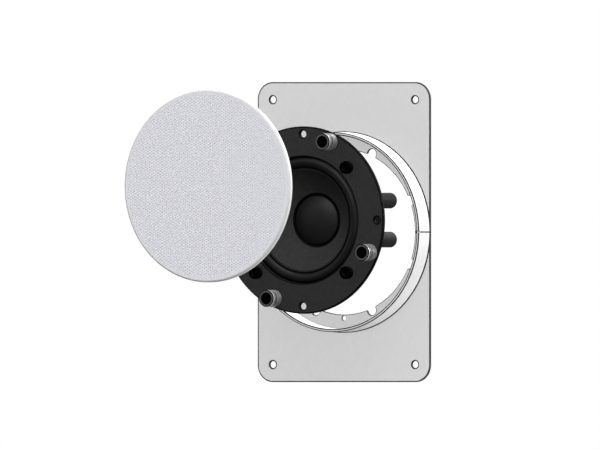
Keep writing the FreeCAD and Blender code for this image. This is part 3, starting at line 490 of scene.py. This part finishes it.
class Form:
    """A closed mesh in the making. Points are (x, depth, z) in millimetres from the form's datum."""

    def __init__(self, datum=(0.0, 0.0, 0.0)):
        self.datum = datum
        self.points = []
        self.faces = []
        self.skins = []

    def point(self, x, depth, z):
        self.points.append((self.datum[0] + x, self.datum[1] + depth, self.datum[2] + z))
        return len(self.points) - 1

    def ring(self, outline, depth):
        return [self.point(x, depth, z) for x, z in outline]

    def face(self, corners, skin, smooth=True):
        if skin not in self.skins:
            self.skins.append(skin)
        self.faces.append((corners, self.skins.index(skin), smooth))

    def band(self, one, other, skin, closed=True, smooth=True):
        """Strip between two rings, or a fan where one of them is a single point."""
        count = max(len(one), len(other))
        for n in range(count if closed else count - 1):
            m = (n + 1) % count
            if len(one) == 1:
                self.face((one[0], other[n], other[m]), skin, smooth)
            elif len(other) == 1:
                self.face((one[n], one[m], other[0]), skin, smooth)
            else:
                self.face((one[n], one[m], other[m], other[n]), skin, smooth)

    def flat(self, loops, skin):
        """Flat face inside the first loop and outside the others."""
        order = [i for loop in loops for i in loop]
        places = [Vector((self.points[i][0], self.points[i][2])) for i in order]
        outlines = []
        start = 0
        for loop in loops:
            outlines.append(list(range(start, start + len(loop))))
            start += len(loop)
        filled = delaunay_2d_cdt(places, [], outlines, INSIDE_WITH_HOLES, MERGE_DISTANCE)
        triangles, origins = filled[2:4]
        for triangle in triangles:
            self.face(tuple(order[origins[v][0]] for v in triangle), skin, False)

    def stacked(self, levels):
        """Closed skin through levels. A level is (outline, or its one point on the axis, depth, skin)."""
        rings = []
        for outline, depth, _ in levels:
            rings.append(self.ring(outline, depth))
        for ring, following, (_, _, skin) in zip(rings, rings[1:] + rings[:1], levels):
            if len(ring) > 1 or len(following) > 1:
                self.band(ring, following, skin)

    def turned(self, profile, steps=FINE, x=0.0, z=0.0):
        """Solid of revolution. A profile point is (radius, depth, skin of the strip that follows it)."""
        self.stacked(
            [(circle(r, steps, x, z) if r > 0 else [(x, z)], depth, skin) for r, depth, skin in profile]
        )

    def sheet(self, loops, front, back):
        """Flat sheet. A loop is (outline as a function of how far it lies inside the material, wall).

        A wall lists (distance into the material, depth, skin) from the front face to the back face.
        """
        fronts = []
        backs = []
        for outline, wall in loops:
            rings = [self.ring(outline(inset), depth) for inset, depth, _ in wall]
            for ring, following, (_, _, skin) in zip(rings, rings[1:], wall):
                self.band(ring, following, skin)
            fronts.append(rings[0])
            backs.append(rings[-1])
        self.flat(fronts, front)
        self.flat(backs, back)

    def piece(self, name, slot, body, *replaced):
        """The finished piece, riding on its body in place of the CAD nodes named."""
        piece = self.loose(name)
        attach(piece, body)
        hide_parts(*replaced)

    def loose(self, name):
        """The finished piece, riding on nothing yet."""
        mesh = bpy.data.meshes.new(name)
        mesh.from_pydata([[v * MM for v in p] for p in self.points], [], [f[0] for f in self.faces])
        for skin in self.skins:
            mesh.materials.append(skin)
        mesh.polygons.foreach_set("material_index", [f[1] for f in self.faces])
        work = bmesh.new()
        work.from_mesh(mesh)
        bmesh.ops.recalc_face_normals(work, faces=work.faces)
        work.to_mesh(mesh)
        work.free()
        mesh.set_sharp_from_angle(angle=SHARP_ANGLE)
        # Flat faces are marked after that call and get crisp edges, so that they shade evenly
        mesh.polygons.foreach_set("use_smooth", [f[2] for f in self.faces])
        crisp = {edge for face in mesh.polygons if not face.use_smooth for edge in face.edge_keys}
        for edge in mesh.edges:
            if edge.key in crisp:
                edge.use_edge_sharp = True
        piece = bpy.data.objects.new(name, mesh)
        bpy.context.scene.collection.objects.link(piece)
        return piece or piece


def dress(material, *nodes):
    """Gives CAD nodes a material."""
    for node in nodes:
        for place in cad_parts[node].material_slots:
            place.material = material


def around(radius, angle):
    """X and Z at a clock angle in degrees, seen from the front."""
    return polar(0.0, 0.0, radius, math.radians(angle))


def on_circle(radius, count, first_angle=0.0):
    """Places spread evenly round the axis."""
    return [around(radius, first_angle + 360.0 * n / count) for n in range(count)]


def bore(radius, x, z):
    """Outline of a round hole, for a sheet."""
    return lambda inset: circle(radius + inset, SMALL, x, z)


def low(node, axis):
    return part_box(node)[0][axis] / MM


def high(node, axis):
    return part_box(node)[1][axis] / MM


def middle(node, axis):
    return (low(node, axis) + high(node, axis)) / 2


# Places read from the frame
PLATE_FRONT = low("mounting_plate", 1)
PLATE_HALF_WIDTH = high("mounting_plate", 0)
PLATE_HALF_HEIGHT = high("mounting_plate", 2)
RING_FRONT = low("plaster_ring", 1)
RING_RADIUS = high("plaster_ring", 2)
UNIT = (0.0, low("baffle_ring", 1), middle("pole_yoke", 2))
BAFFLE_RADIUS = high("baffle_ring", 0)
BAFFLE_THICKNESS = high("baffle_ring", 1) - low("baffle_ring", 1)
POST_LENGTH = UNIT[1] - low("grille_post_1", 1)
POST_FOOT_RADIUS = (high("grille_post_1", 2) - low("grille_post_1", 2)) / 2
GRILLE_DATUM = (0.0, low("grille_sheet", 1), middle("grille_sheet", 2))
GRILLE_RADIUS = high("grille_sheet", 0)
GRILLE_RIM_DEPTH = high("grille_sheet", 1) - low("grille_sheet", 1)


def rounded_rectangle(half_width, half_height, radius):
    """Outline of a rectangle with round corners."""
    points = []
    for corner in range(4):
        x = (half_width - radius) * (1 if corner < 2 else -1)
        z = (half_height - radius) * (1 if corner in (0, 3) else -1)
        points += arc(x, z, radius, math.pi / 2 * corner, math.pi / 2, CORNER_STEPS)
    return points


def notched_opening(inset):
    """Outline of the round opening with its notches, each with rounded lips."""
    opening = OPENING_RADIUS + inset
    notch = NOTCH_RADIUS + inset
    lip = NOTCH_EDGE_ROUND - inset
    reach_opening = opening + lip
    reach_notch = notch + lip
    far = POST_CIRCLE_RADIUS
    # Angle at the centre, and at the notch's own centre, to the middle of a lip's rounding
    at_centre = math.acos((reach_opening**2 + far**2 - reach_notch**2) / (2 * reach_opening * far))
    at_notch = math.acos((reach_notch**2 + far**2 - reach_opening**2) / (2 * reach_notch * far))
    notch_sweep = 2 * math.pi - 2 * at_notch
    opening_sweep = 2 * math.pi / NOTCH_COUNT - 2 * at_centre
    points = []
    for n in range(NOTCH_COUNT):
        clock = math.radians(POST_FIRST_ANGLE + 360.0 * n / NOTCH_COUNT)
        nx, nz = polar(0.0, 0.0, far, clock)
        lips = []
        for side in (-1, 1):
            lx, lz = polar(0.0, 0.0, reach_opening, clock + side * at_centre)
            to_centre = math.atan2(-lx, -lz)
            to_notch = math.atan2(nx - lx, nz - lz)
            swing = (to_notch - to_centre + math.pi) % (2 * math.pi) - math.pi
            lips.append(arc(lx, lz, lip, to_centre, swing, NOTCH_TIP_STEPS))
        points += lips[0]
        points += arc(nx, nz, notch, clock + math.pi + at_notch, notch_sweep, NOTCH_STEPS)[1:-1]
        points += lips[1][::-1]
        points += arc(0.0, 0.0, opening, clock + at_centre, opening_sweep, OPENING_STEPS)[1:-1]
    return points


def plate_outline(inset):
    """Outline of the mounting plate."""
    half_width = PLATE_HALF_WIDTH - inset
    half_height = PLATE_HALF_HEIGHT - inset
    return rounded_rectangle(half_width, half_height, PLATE_CORNER_RADIUS - inset)


def mounting_plate():
    """Coated sheet whose cut edges show darker."""
    thick = -PLATE_FRONT
    drop = CUT_EDGE_DROP

    def wall(cut, skin, burr=0):
        """Wall of a cut, with a dark line of a width on both faces."""
        return [(cut, 0, skin), (-burr, drop, skin), (-burr, thick - drop, skin), (cut, thick, skin)]

    loops = [
        (plate_outline, wall(CUT_EDGE_WIDTH, CUT_EDGE)),
        (notched_opening, wall(OPENING_EDGE_WIDTH, HOLE_EDGE)),
    ]
    for x, z in on_circle(FIXING_CIRCLE_RADIUS, FIXING_HOLE_COUNT):
        loops.append((bore(PILOT_HOLE / 2, x, z), wall(0, HOLE_EDGE, HOLE_BURR)))
    for x in (PLATE_SCREW_INSET - PLATE_HALF_WIDTH, PLATE_HALF_WIDTH - PLATE_SCREW_INSET):
        for z in (PLATE_SCREW_INSET - PLATE_HALF_HEIGHT, PLATE_HALF_HEIGHT - PLATE_SCREW_INSET):
            loops.append((bore(PLATE_SCREW_HOLE / 2, x, z), wall(HOLE_EDGE_WIDTH, HOLE_EDGE, HOLE_BURR)))
    form = Form((0, PLATE_FRONT, 0))
    form.sheet(loops, PLATE, PLATE_BACK)
    form.piece("mounting_plate_coated", "plate_grey", "mounting_kit", "mounting_plate")


def plaster_ring():
    """White strip with a seam at three o'clock, the front face of its cut rim painted grey as shade."""
    inner = RING_RADIUS - RING_WALL
    edge = RING_EDGE_BREAK
    band = RING_RIM_BAND
    height = PLATE_FRONT - RING_FRONT
    foot = height - RING_FOOT_SHADE_BAND
    profile = [
        (inner + RING_INNER_LINE, 0, RING_RIM_SHADE),
        (RING_RADIUS - band, 0, RING_EDGE),
        (RING_RADIUS - edge / 2, edge / 4, RING_EDGE),
        (RING_RADIUS, edge, RING_EDGE),
        (RING_RADIUS, edge + band, RING),
        # Dark band at the foot of both walls: painted contact shade
        (RING_RADIUS, foot, RING_EDGE),
        (RING_RADIUS, height, RING),
        (inner, height, RING_EDGE),
        (inner, foot, RING),
        (inner, edge + band, RING_EDGE),
        (inner, edge, RING_EDGE),
        (inner + edge / 2, edge / 4, RING_EDGE),
    ]
    form = Form((0, RING_FRONT, 0))
    half_seam = RING_SEAM / 2 / RING_RADIUS
    start = math.pi / 2 + half_seam
    sweep = 2 * math.pi - 2 * half_seam
    line = RING_SEAM_LINE / RING_RADIUS
    turns = [start + sweep * n / FINE for n in range(FINE + 1)]
    turns = [start, start + line] + turns[1:-1] + [start + sweep - line, start + sweep]
    rings = [
        [form.point(radius * math.sin(t), depth, radius * math.cos(t)) for t in turns]
        for radius, depth, _ in profile
    ]
    for ring, following, (_, _, skin) in zip(rings, rings[1:] + rings[:1], profile):
        form.band(ring[1:-1], following[1:-1], skin, closed=False)
        form.band(ring[:2], following[:2], RING_EDGE, closed=False)
        form.band(ring[-2:], following[-2:], RING_EDGE, closed=False)
    for end in (0, -1):
        form.face(tuple(ring[end] for ring in rings), RING_EDGE, False)
    form.piece("plaster_ring_painted", "ring_white", "mounting_kit", "plaster_ring")


def baffle():
    """Flat ring with black edges and countersunk fixing holes."""
    edge = BAFFLE_EDGE_BREAK
    thick = BAFFLE_THICKNESS
    hole = BAFFLE_SCREW_HOLE / 2
    sink = (BAFFLE_COUNTERSINK - BAFFLE_SCREW_HOLE) / 2
    rim = [
        (edge + BAFFLE_EDGE_LINE, 0, BAFFLE_EDGE),
        (edge, 0, BAFFLE_EDGE),
        (0, edge, BAFFLE_EDGE),
        (0, thick, BAFFLE_EDGE),
    ]
    countersunk = [(sink, 0, BAFFLE_EDGE), (0, sink, BAFFLE_EDGE), (0, thick, BAFFLE_EDGE)]
    plain = [(0, 0, BAFFLE_EDGE), (0, thick, BAFFLE_EDGE)]
    loops = [
        (lambda inset: circle(BAFFLE_RADIUS - inset), rim),
        (lambda inset: circle(SURROUND_OUTER_RADIUS + inset), rim),
    ]
    for x, z in on_circle(FIXING_CIRCLE_RADIUS, FIXING_HOLE_COUNT):
        loops.append((bore(hole, x, z), countersunk))
    for x, z in post_places():
        loops.append((bore(POST_SCREW_RADIUS, x, z), plain))
    for x, z in driver_screw_places():
        loops.append((bore(DRIVER_SCREW_RADIUS, x, z), plain))
    form = Form(UNIT)
    form.sheet(loops, BAFFLE, BAFFLE)
    form.piece("baffle_textured", "baffle_black", "speaker_unit", "baffle_ring")


def post_places():
    return on_circle(POST_CIRCLE_RADIUS, POST_COUNT, POST_FIRST_ANGLE)


def driver_screw_places():
    return on_circle(DRIVER_SCREW_CIRCLE_RADIUS, DRIVER_SCREW_COUNT, DRIVER_SCREW_FIRST_ANGLE)


def grille_post(number, x, z):
    """Turned metal post: dark front edge, a painted highlight on its thin lip, painted shade in its groove
    and neck, a bright body and a line of painted contact shade round its foot.
    """
    bevel = POST_GROOVE_DEPTH / 2
    front = -POST_LENGTH
    lip_back = front + POST_LIP_LENGTH
    groove_back = lip_back + POST_GROOVE_WIDTH
    groove = POST_HEAD_RADIUS - POST_GROOVE_DEPTH
    neck_back = -POST_FOOT_LENGTH
    neck_front = neck_back - POST_NECK_LENGTH
    pocket_back = front + POST_POCKET_DEPTH
    profile = [
        (0, pocket_back, POCKET_SHADE),
        (POST_POCKET_RADIUS, pocket_back, POCKET_SHADE),
        (POST_POCKET_RADIUS, front + bevel, POCKET_SHADE),
        (POST_POCKET_RADIUS, front, POST_FACE),
        (POST_HEAD_RADIUS - POST_RIM_WIDTH, front, POST_DARK_EDGE_AND_SHADE),
        (POST_HEAD_RADIUS - bevel, front, POST_DARK_EDGE_AND_SHADE),
        (POST_HEAD_RADIUS, front + bevel, POST_DARK_EDGE_AND_SHADE),
        (POST_HEAD_RADIUS, front + POST_FRONT_LINE, POST_LIP_HIGHLIGHT),
        (POST_HEAD_RADIUS, lip_back, POST_NECK_SHADE),
        (groove, lip_back, POST_NECK_SHADE),
        (groove, groove_back, POST_NECK_SHADE),
        (POST_HEAD_RADIUS, groove_back, POST),
        (POST_HEAD_RADIUS, neck_front, POST_NECK_SHADE),
        (POST_NECK_RADIUS, neck_front, POST_NECK_SHADE),
        (POST_NECK_RADIUS, neck_back, POST_NECK_SHADE),
        (POST_FOOT_RADIUS - bevel, neck_back, POST),
        (POST_FOOT_RADIUS, neck_back + bevel, POST),
        (POST_FOOT_RADIUS, -POST_BASE_SHADE_LINE, POST_DARK_EDGE_AND_SHADE),
        (POST_FOOT_RADIUS, 0, POST_DARK_EDGE_AND_SHADE),
        (0, 0, POST_DARK_EDGE_AND_SHADE),
    ]
    form = Form(UNIT)
    form.turned(profile, MEDIUM, x, z)
    form.piece(f"grille_post_{number}_turned", "post_metal", "speaker_unit", f"grille_post_{number}")


def driver_screw_levels(x, z):
    """Levels of one cap screw, from the bottom of its socket round to its tip."""
    top = -SCREW_HEAD_HEIGHT
    socket_back = top + SCREW_SOCKET_DEPTH
    smooth_radius = SCREW_HEAD_RADIUS - SCREW_KNURL
    smooth_length = 1.5 * SCREW_EDGE
    socket = hexagon(SCREW_SOCKET, MEDIUM, x, z)
    knurl = fluted(SCREW_HEAD_RADIUS, SCREW_KNURL, MEDIUM, x, z)

    def plain(radius, depth):
        return circle(radius, MEDIUM, x, z), depth, OXIDE

    return [
        # The socket is lined with painted shade
        ([(x, z)], socket_back + SCREW_SOCKET / 6, POCKET_SHADE),
        (socket, socket_back, POCKET_SHADE),
        (socket, top + SCREW_EDGE / 4, OXIDE),
        plain(SCREW_SOCKET / 2 + SCREW_EDGE, top),
        plain(SCREW_HEAD_RADIUS - SCREW_EDGE, top),
        plain(smooth_radius, top + SCREW_EDGE),
        (knurl, top + smooth_length, OXIDE),
        (knurl, -smooth_length, OXIDE),
        plain(smooth_radius, -SCREW_EDGE),
        plain(smooth_radius, 0),
        plain(DRIVER_SCREW_RADIUS, 0),
        plain(DRIVER_SCREW_RADIUS, SCREW_LENGTH - SCREW_EDGE),
        plain(DRIVER_SCREW_RADIUS - SCREW_EDGE, SCREW_LENGTH),
        ([(x, z)], SCREW_LENGTH, OXIDE),
    ]


def driver_screws():
    """Black cap screws with knurled heads and hexagonal sockets."""
    form = Form(UNIT)
    for x, z in driver_screw_places():
        form.stacked(driver_screw_levels(x, z))
    form.piece("driver_screws_knurled", "black_oxide", "speaker_unit", "driver_screws")


def blend_round(piece, fixed_radius, moving_radius, *replaced):
    """Hides the CAD nodes that a round piece replaces; its points are moved out and put back, so the piece
    keeps its shape.
    """
    rest = [v.co.copy() for v in piece.data.vertices]
    for v in piece.data.vertices:
        v.co = (math.hypot(v.co.x - UNIT[0] * MM, v.co.z - UNIT[2] * MM), 0, 0)
    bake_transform(piece)
    for v, place in zip(piece.data.vertices, rest):
        v.co = place
    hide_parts(*replaced)


def surround():
    """Rubber half roll, its landing clamped behind the baffle and its lip on the cone."""
    thick = SURROUND_THICKNESS
    outer = SURROUND_OUTER_RADIUS - thick
    inner = SURROUND_INNER_RADIUS
    crest_radius = (outer + inner) / 2
    half = (outer - inner) / 2
    front = BAFFLE_THICKNESS
    back = front + thick
    crest = back - SURROUND_ROLL_HEIGHT
    under = bend(
        (crest_radius + half - thick, back),
        (crest_radius, crest + thick),
        (crest_radius - half + thick, back),
        ROLL_BACK_STEPS,
    )
    over = bend(
        (crest_radius - half, front), (crest_radius, crest), (crest_radius + half, front), ROLL_FRONT_STEPS
    )
    lip = inner - CONE_LIP_WIDTH
    profile = clad([(SURROUND_LANDING_RADIUS, front), (SURROUND_LANDING_RADIUS, back)], RUBBER)
    profile += clad(under, RUBBER) + clad([(lip, back)], RUBBER)
    # The lip strip carries painted shade
    profile.append((lip, back - SURROUND_LIP_STEP, PAPER_LIP_SHADE))
    # Glue band on the cone's lip, widened into painted shade at the roll's inner foot
    profile += clad([(inner - SURROUND_GLUE_AND_SHADE_LINE, front), (over[0][0], front)], GLUE_AND_SHADE_BLACK)
    # The roll's outermost strip is painted black as shadow
    for radius, depth in over[1:]:
        profile.append((radius, depth, RUBBER if radius < outer - SURROUND_SHADOW_LINE else GLUE_AND_SHADE_BLACK))
    form = Form(UNIT)
    form.turned(profile)
    piece = form.loose("surround_roll")
    blend_round(piece, SURROUND_OUTER_RADIUS - 2 * thick, SURROUND_INNER_RADIUS, "surround")


def cone():
    """Paper cone with a bellied wall."""
    lip = SURROUND_INNER_RADIUS - CONE_LIP_WIDTH
    seat_radius = CAP_RADIUS + CAP_FLANGE_WIDTH
    seat = CONE_FRONT + CONE_DEPTH
    neck = seat + seat_radius - COIL_OUTER_RADIUS
    wall = CONE_THICKNESS
    belly_radius = (lip + seat_radius) / 2 + CONE_BELLY
    belly = CONE_FRONT + CONE_DEPTH / 2 + CONE_BELLY
    back = bend(
        (lip, CONE_FRONT + wall), (belly_radius, belly + wall), (seat_radius, seat + wall), CONE_WALL_STEPS
    )
    front = bend((seat_radius, seat), (belly_radius, belly), (lip, CONE_FRONT), CONE_WALL_STEPS)
    profile = clad([(SURROUND_INNER_RADIUS, CONE_FRONT), (SURROUND_INNER_RADIUS, CONE_FRONT + wall)], PAPER)
    profile += clad(back + [(COIL_OUTER_RADIUS, neck + wall), (COIL_OUTER_RADIUS, neck)], PAPER)
    profile += clad(front, PAPER)
    form = Form(UNIT)
    form.turned(profile)
    form.piece("cone_paper", "cone_black", "cone_assembly", "cone")


def dust_cap():
    """Domed cap with a black glue line round its sunken flange."""
    wall = CAP_THICKNESS
    seat = CONE_FRONT + CONE_DEPTH - GLUE_GAP
    sink = CAP_FLANGE_WIDTH
    sphere = (CAP_RADIUS**2 + CAP_HEIGHT**2) / (2 * CAP_HEIGHT)
    centre = seat - CAP_HEIGHT + sphere

    def dome(radius, end):
        """Profile points of a dome from the axis out to a radius."""
        turn = math.asin(end / radius)
        turns = [turn * n / DOME_STEPS for n in range(DOME_STEPS + 1)]
        return [(radius * math.sin(t), centre - radius * math.cos(t)) for t in turns]

    front = dome(sphere, CAP_RADIUS)
    flange = [
        (CAP_RADIUS + sink / 3, seat + sink / 3 - wall),
        (CAP_RADIUS + sink, seat - wall),
        (CAP_RADIUS + sink, seat),
        (CAP_RADIUS, seat + sink),
        (CAP_RADIUS - wall, seat + sink),
    ]
    profile = clad(front[:-1], CAP_PAPER) + clad(front[-1:] + flange, GLUE_AND_SHADE_BLACK)
    profile += clad(dome(sphere - wall, CAP_RADIUS - wall)[::-1], CAP_PAPER)
    form = Form(UNIT)
    form.turned(profile)
    form.piece("dust_cap_domed", "cap_cone_black", "cone_assembly", "dust_cap")


def spider():
    """Corrugated cloth disc that centres the voice coil."""
    outer = SPIDER_OUTER_RADIUS
    inner = COIL_OUTER_RADIUS + GLUE_GAP
    first = outer - SPIDER_LANDING
    steps = WAVE_STEPS * SPIDER_WAVES
    wave = []
    for n in range(steps + 1):
        radius = first - (first - inner) * n / steps
        wave.append((radius, -SPIDER_WAVE * math.sin(2 * math.pi * SPIDER_WAVES * n / steps)))
    back = [(outer, SPIDER_SEAT)] + [(r, SPIDER_SEAT + h) for r, h in wave]
    front = [(r, SPIDER_SEAT - SPIDER_THICKNESS + h) for r, h in reversed(wave)]
    front.append((outer, SPIDER_SEAT - SPIDER_THICKNESS))
    form = Form(UNIT)
    form.turned(clad(back + front, SPIDER), MEDIUM)
    piece = form.loose("spider_corrugated")
    blend_round(piece, first, inner, "spider")


def tinsel_lead(name, side):
    """Braided lead that curves from its lug to the cone."""
    curve = bpy.data.curves.new("tinsel_route", "CURVE")
    curve.dimensions = "3D"
    curve.bevel_depth = TINSEL_DIAMETER / 2 * MM
    curve.bevel_resolution = 4
    curve.resolution_u = 12
    curve.use_fill_caps = True
    line = curve.splines.new("NURBS")
    line.points.add(len(TINSEL_ROUTE) - 1)
    route = [
        Vector((UNIT[0] + x, UNIT[1] + depth, UNIT[2] + side * z)) * MM for x, depth, z in TINSEL_ROUTE
    ]
    for point, place in zip(line.points, route):
        point.co = (*place, 1)
    line.order_u = 3
    line.use_endpoint_u = True
    path = bpy.data.objects.new("tinsel_path", curve)
    mesh = bpy.data.meshes.new_from_object(path)
    bpy.data.objects.remove(path)
    mesh.materials.clear()
    mesh.materials.append(TINSEL)
    mesh.polygons.foreach_set("use_smooth", [True] * len(mesh.polygons))
    piece = bpy.data.objects.new(f"tinsel_braid_{name}", mesh)
    bpy.context.scene.collection.objects.link(piece)
    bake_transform(piece)
    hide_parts(f"tinsel_lead_{name}")


def lattice(radius, pitch):
    """Centres of a triangular lattice inside a circle, by their two counts."""
    column_gap = pitch * math.sqrt(3) / 2
    columns = math.ceil(radius / column_gap)
    cells = {}
    for j in range(-columns, columns + 1):
        for i in range(-2 * columns, 2 * columns + 1):
            x = -pitch * j * math.sqrt(3) / 2
            z = pitch * (i + j / 2)
            if math.hypot(x, z) <= radius:
                cells[(i, j)] = (x, z)
    return cells


# Steps from a hole to its six neighbours, anticlockwise from the top
NEIGHBOURS = ((1, 0), (0, 1), (-1, 1), (-1, 0), (0, -1), (1, -1))


def lattice_edge(cells):
    """Corners, as (hole, number), along the outside of the holes and the webs between them."""
    follows = {}
    for i, j in cells:
        for k, (di, dj) in enumerate(NEIGHBOURS):
            if (i + di, j + dj) in cells:
                continue
            follows[((i, j), (k - 1) % 6)] = ((i, j), k)
            ni, nj = NEIGHBOURS[(k + 1) % 6]
            beside = (i + ni, j + nj)
            if beside in cells:
                follows[((i, j), k)] = (beside, (k + 4) % 6)
    start = next(iter(follows))
    path = [start]
    while follows[path[-1]] != start:
        path.append(follows[path[-1]])
    return path


def hole_field(form, cells):
    """Holes and the webs between them. Gives each hole's six corners on the front and on the back."""
    corner = GRILLE_HOLE_ACROSS / math.sqrt(3)
    turns = [math.radians(120 + 60 * k) for k in range(6)]
    fronts = {}
    backs = {}
    for cell, (x, z) in cells.items():
        for depth, corners in ((0, fronts), (GRILLE_THICKNESS, backs)):
            corners[cell] = [
                form.point(x + corner * math.cos(t), depth, z + corner * math.sin(t)) for t in turns
            ]
        # Hole walls carry painted shade
        form.band(fronts[cell], backs[cell], GRILLE_HOLE_SHADE, smooth=False)
    for corners in (fronts, backs):
        for (i, j), own in corners.items():
            beside = [corners.get((i + di, j + dj)) for di, dj in NEIGHBOURS[:3]]
            for k, one in enumerate(beside):
                if one:
                    form.face((own[k - 1], own[k], one[(k + 2) % 6], one[(k + 3) % 6]), GRILLE, False)
            for k, (one, two) in enumerate(zip(beside, beside[1:])):
                if one and two:
                    form.face((own[k], one[(k + 2) % 6], two[(k + 4) % 6]), GRILLE, False)
    return fronts, backs


def grille():
    """Pressed sheet with a fine field of holes, a rounded corner and a turned-back rim."""
    thick = GRILLE_THICKNESS
    outer_bend = GRILLE_CORNER_RADIUS
    inner_bend = outer_bend - thick
    flat_radius = GRILLE_RADIUS - outer_bend
    swing = math.sqrt(0.5)
    outer_arc = bend(
        (flat_radius, 0),
        (flat_radius + outer_bend * swing, outer_bend - outer_bend * swing),
        (GRILLE_RADIUS, outer_bend),
        BEND_OUTSIDE_STEPS,
    )
    inner_arc = bend(
        (GRILLE_RADIUS - thick, outer_bend),
        (flat_radius + inner_bend * swing, outer_bend - inner_bend * swing),
        (flat_radius, thick),
        BEND_INSIDE_STEPS,
    )
    # The rim carries painted light
    rim = [(GRILLE_RADIUS, GRILLE_RIM_DEPTH), (GRILLE_RADIUS - thick, GRILLE_RIM_DEPTH)]
    # The bend carries painted shade
    profile = clad(outer_arc[:-1], GRILLE_BEND_SHADE) + clad(outer_arc[-1:] + rim, GRILLE_RIM_LIGHT)
    profile += clad(inner_arc, GRILLE)
    form = Form(GRILLE_DATUM)
    cells = lattice(flat_radius - GRILLE_BORDER, GRILLE_PITCH)
    fronts, backs = hole_field(form, cells)
    rings = [form.ring(circle(radius), depth) for radius, depth, _ in profile]
    for ring, following, (_, _, skin) in zip(rings, rings[1:], profile):
        form.band(ring, following, skin)
    edge = lattice_edge(cells)
    form.flat([rings[0], [fronts[cell][k] for cell, k in edge]], GRILLE)
    form.flat([rings[-1], [backs[cell][k] for cell, k in edge]], GRILLE)
    form.piece("grille_perforated", "grille_white", "grille", "grille_sheet")


mounting_plate()
plaster_ring()
baffle()
for number, place in enumerate(post_places(), 1):
    grille_post(number, *place)
driver_screws()
surround()
cone()
dust_cap()
spider()
tinsel_lead("lower", -1)
tinsel_lead("upper", 1)
grille()


def set_view():
    """Camera of the photograph."""
    turn = math.radians(VIEW_TURN)
    right = Vector((math.cos(turn), math.sin(turn), 0))
    back = Vector((math.sin(turn), -math.cos(turn), 0))
    target = Vector((0, PLATE_FRONT * MM, VIEW_RISE)) + right * VIEW_SIDE_SHIFT
    data = bpy.data.cameras.new("camera")
    data.type = "ORTHO"
    data.ortho_scale = VIEW_WIDTH
    data.clip_start = VIEW_NEAREST
    data.clip_end = VIEW_FARTHEST
    camera = bpy.data.objects.new("camera", data)
    camera.location = target + back * VIEW_DISTANCE
    camera.rotation_euler = (math.pi / 2, 0, turn)
    bpy.context.scene.collection.objects.link(camera)
    bpy.context.scene.camera = camera


def soft_box(name, turn, height, size, power, shadows):
    """Square area lamp at a turn and height in degrees, pointing at the object."""
    turn = math.radians(turn)
    height = math.radians(height)
    aim = Vector(LAMP_AIM)
    level = math.cos(height)
    direction = Vector((level * math.sin(turn), -level * math.cos(turn), math.sin(height)))
    place = aim + direction * LAMP_DISTANCE
    data = bpy.data.lights.new(name, "AREA")
    data.shape = "SQUARE"
    data.size = size
    data.energy = power
    data.use_shadow = shadows
    lamp = bpy.data.objects.new(name, data)
    lamp.location = place
    lamp.rotation_euler = (aim - place).to_track_quat("-Z", "Y").to_euler()
    bpy.context.scene.collection.objects.link(lamp)


def set_sky():
    """White to camera, glossy and transmission rays, and to others a soft light, stronger from above."""
    world = bpy.data.worlds.new("studio")
    world.use_nodes = True
    bpy.context.scene.world = world
    nodes = world.node_tree.nodes
    links = world.node_tree.links
    soft = nodes["Background"]
    shown = nodes.new("ShaderNodeBackground")
    shown.inputs["Color"].default_value = (1, 1, 1, 1)
    rays = nodes.new("ShaderNodeLightPath")
    sees_white = rays.outputs["Is Camera Ray"]
    for kind in ("Is Glossy Ray", "Is Transmission Ray"):
        either = nodes.new("ShaderNodeMath")
        either.operation = "MAXIMUM"
        links.new(sees_white, either.inputs[0])
        links.new(rays.outputs[kind], either.inputs[1])
        sees_white = either.outputs["Value"]
    direction = nodes.new("ShaderNodeTexCoord")
    split = nodes.new("ShaderNodeSeparateXYZ")
    links.new(direction.outputs["Generated"], split.inputs["Vector"])
    slope = nodes.new("ShaderNodeMapRange")
    slope.inputs["From Min"].default_value = SKY_DIMMEST_HEIGHT
    slope.inputs["From Max"].default_value = SKY_BRIGHTEST_HEIGHT
    slope.inputs["To Min"].default_value = SKY_BELOW
    slope.inputs["To Max"].default_value = SKY_ABOVE
    links.new(split.outputs["Z"], slope.inputs["Value"])
    links.new(slope.outputs["Result"], soft.inputs["Strength"])
    mix = nodes.new("ShaderNodeMixShader")
    links.new(sees_white, mix.inputs["Fac"])
    links.new(soft.outputs["Background"], mix.inputs[1])
    links.new(shown.outputs["Background"], mix.inputs[2])
    links.new(mix.outputs["Shader"], nodes["World Output"].inputs["Surface"])


def set_floor():
    """Pale floor that keeps the object's shadow and throws little light back up."""
    bpy.ops.mesh.primitive_plane_add(size=FLOOR_SIZE, location=(0, 0, FLOOR_HEIGHT))
    floor = bpy.context.object
    floor.name = "floor"
    skin = Surface("floor_pale", roughness=0.9, specular=0.1)
    rays = skin.nodes.new("ShaderNodeLightPath")
    skin.colours(rays.outputs["Is Camera Ray"], rgb(FLOOR_BOUNCE), rgb(FLOOR_SHOWN), 0.0, 1.0)
    floor.data.materials.append(skin.material)


dress(MAGNET, *[f"post_magnet_{n}" for n in range(1, POST_COUNT + 1)])
dress(ZINC, "post_screws", "top_plate", "pole_yoke")
dress(CAST, "basket")
dress(FOIL, "voice_coil_former")
dress(COPPER, "voice_coil")
dress(FERRITE, "magnet_ring")
dress(MOULDED, "terminal_box")
dress(CAP_PLASTIC, "terminal_cap_lower", "terminal_cap_upper")
dress(BRASS, "terminal_stud_lower", "terminal_stud_upper", "terminal_nuts")
dress(BOARD, "lug_strip")
dress(TINNED, "solder_lugs")
dress(JACKET, "hookup_wire_lower", "hookup_wire_upper")
dress(SCRIM, "grille_scrim")

set_view()
set_sky()
set_floor()
for lamp in LAMPS:
    soft_box(*lamp)
bpy.context.scene.view_settings.view_transform = "Standard"
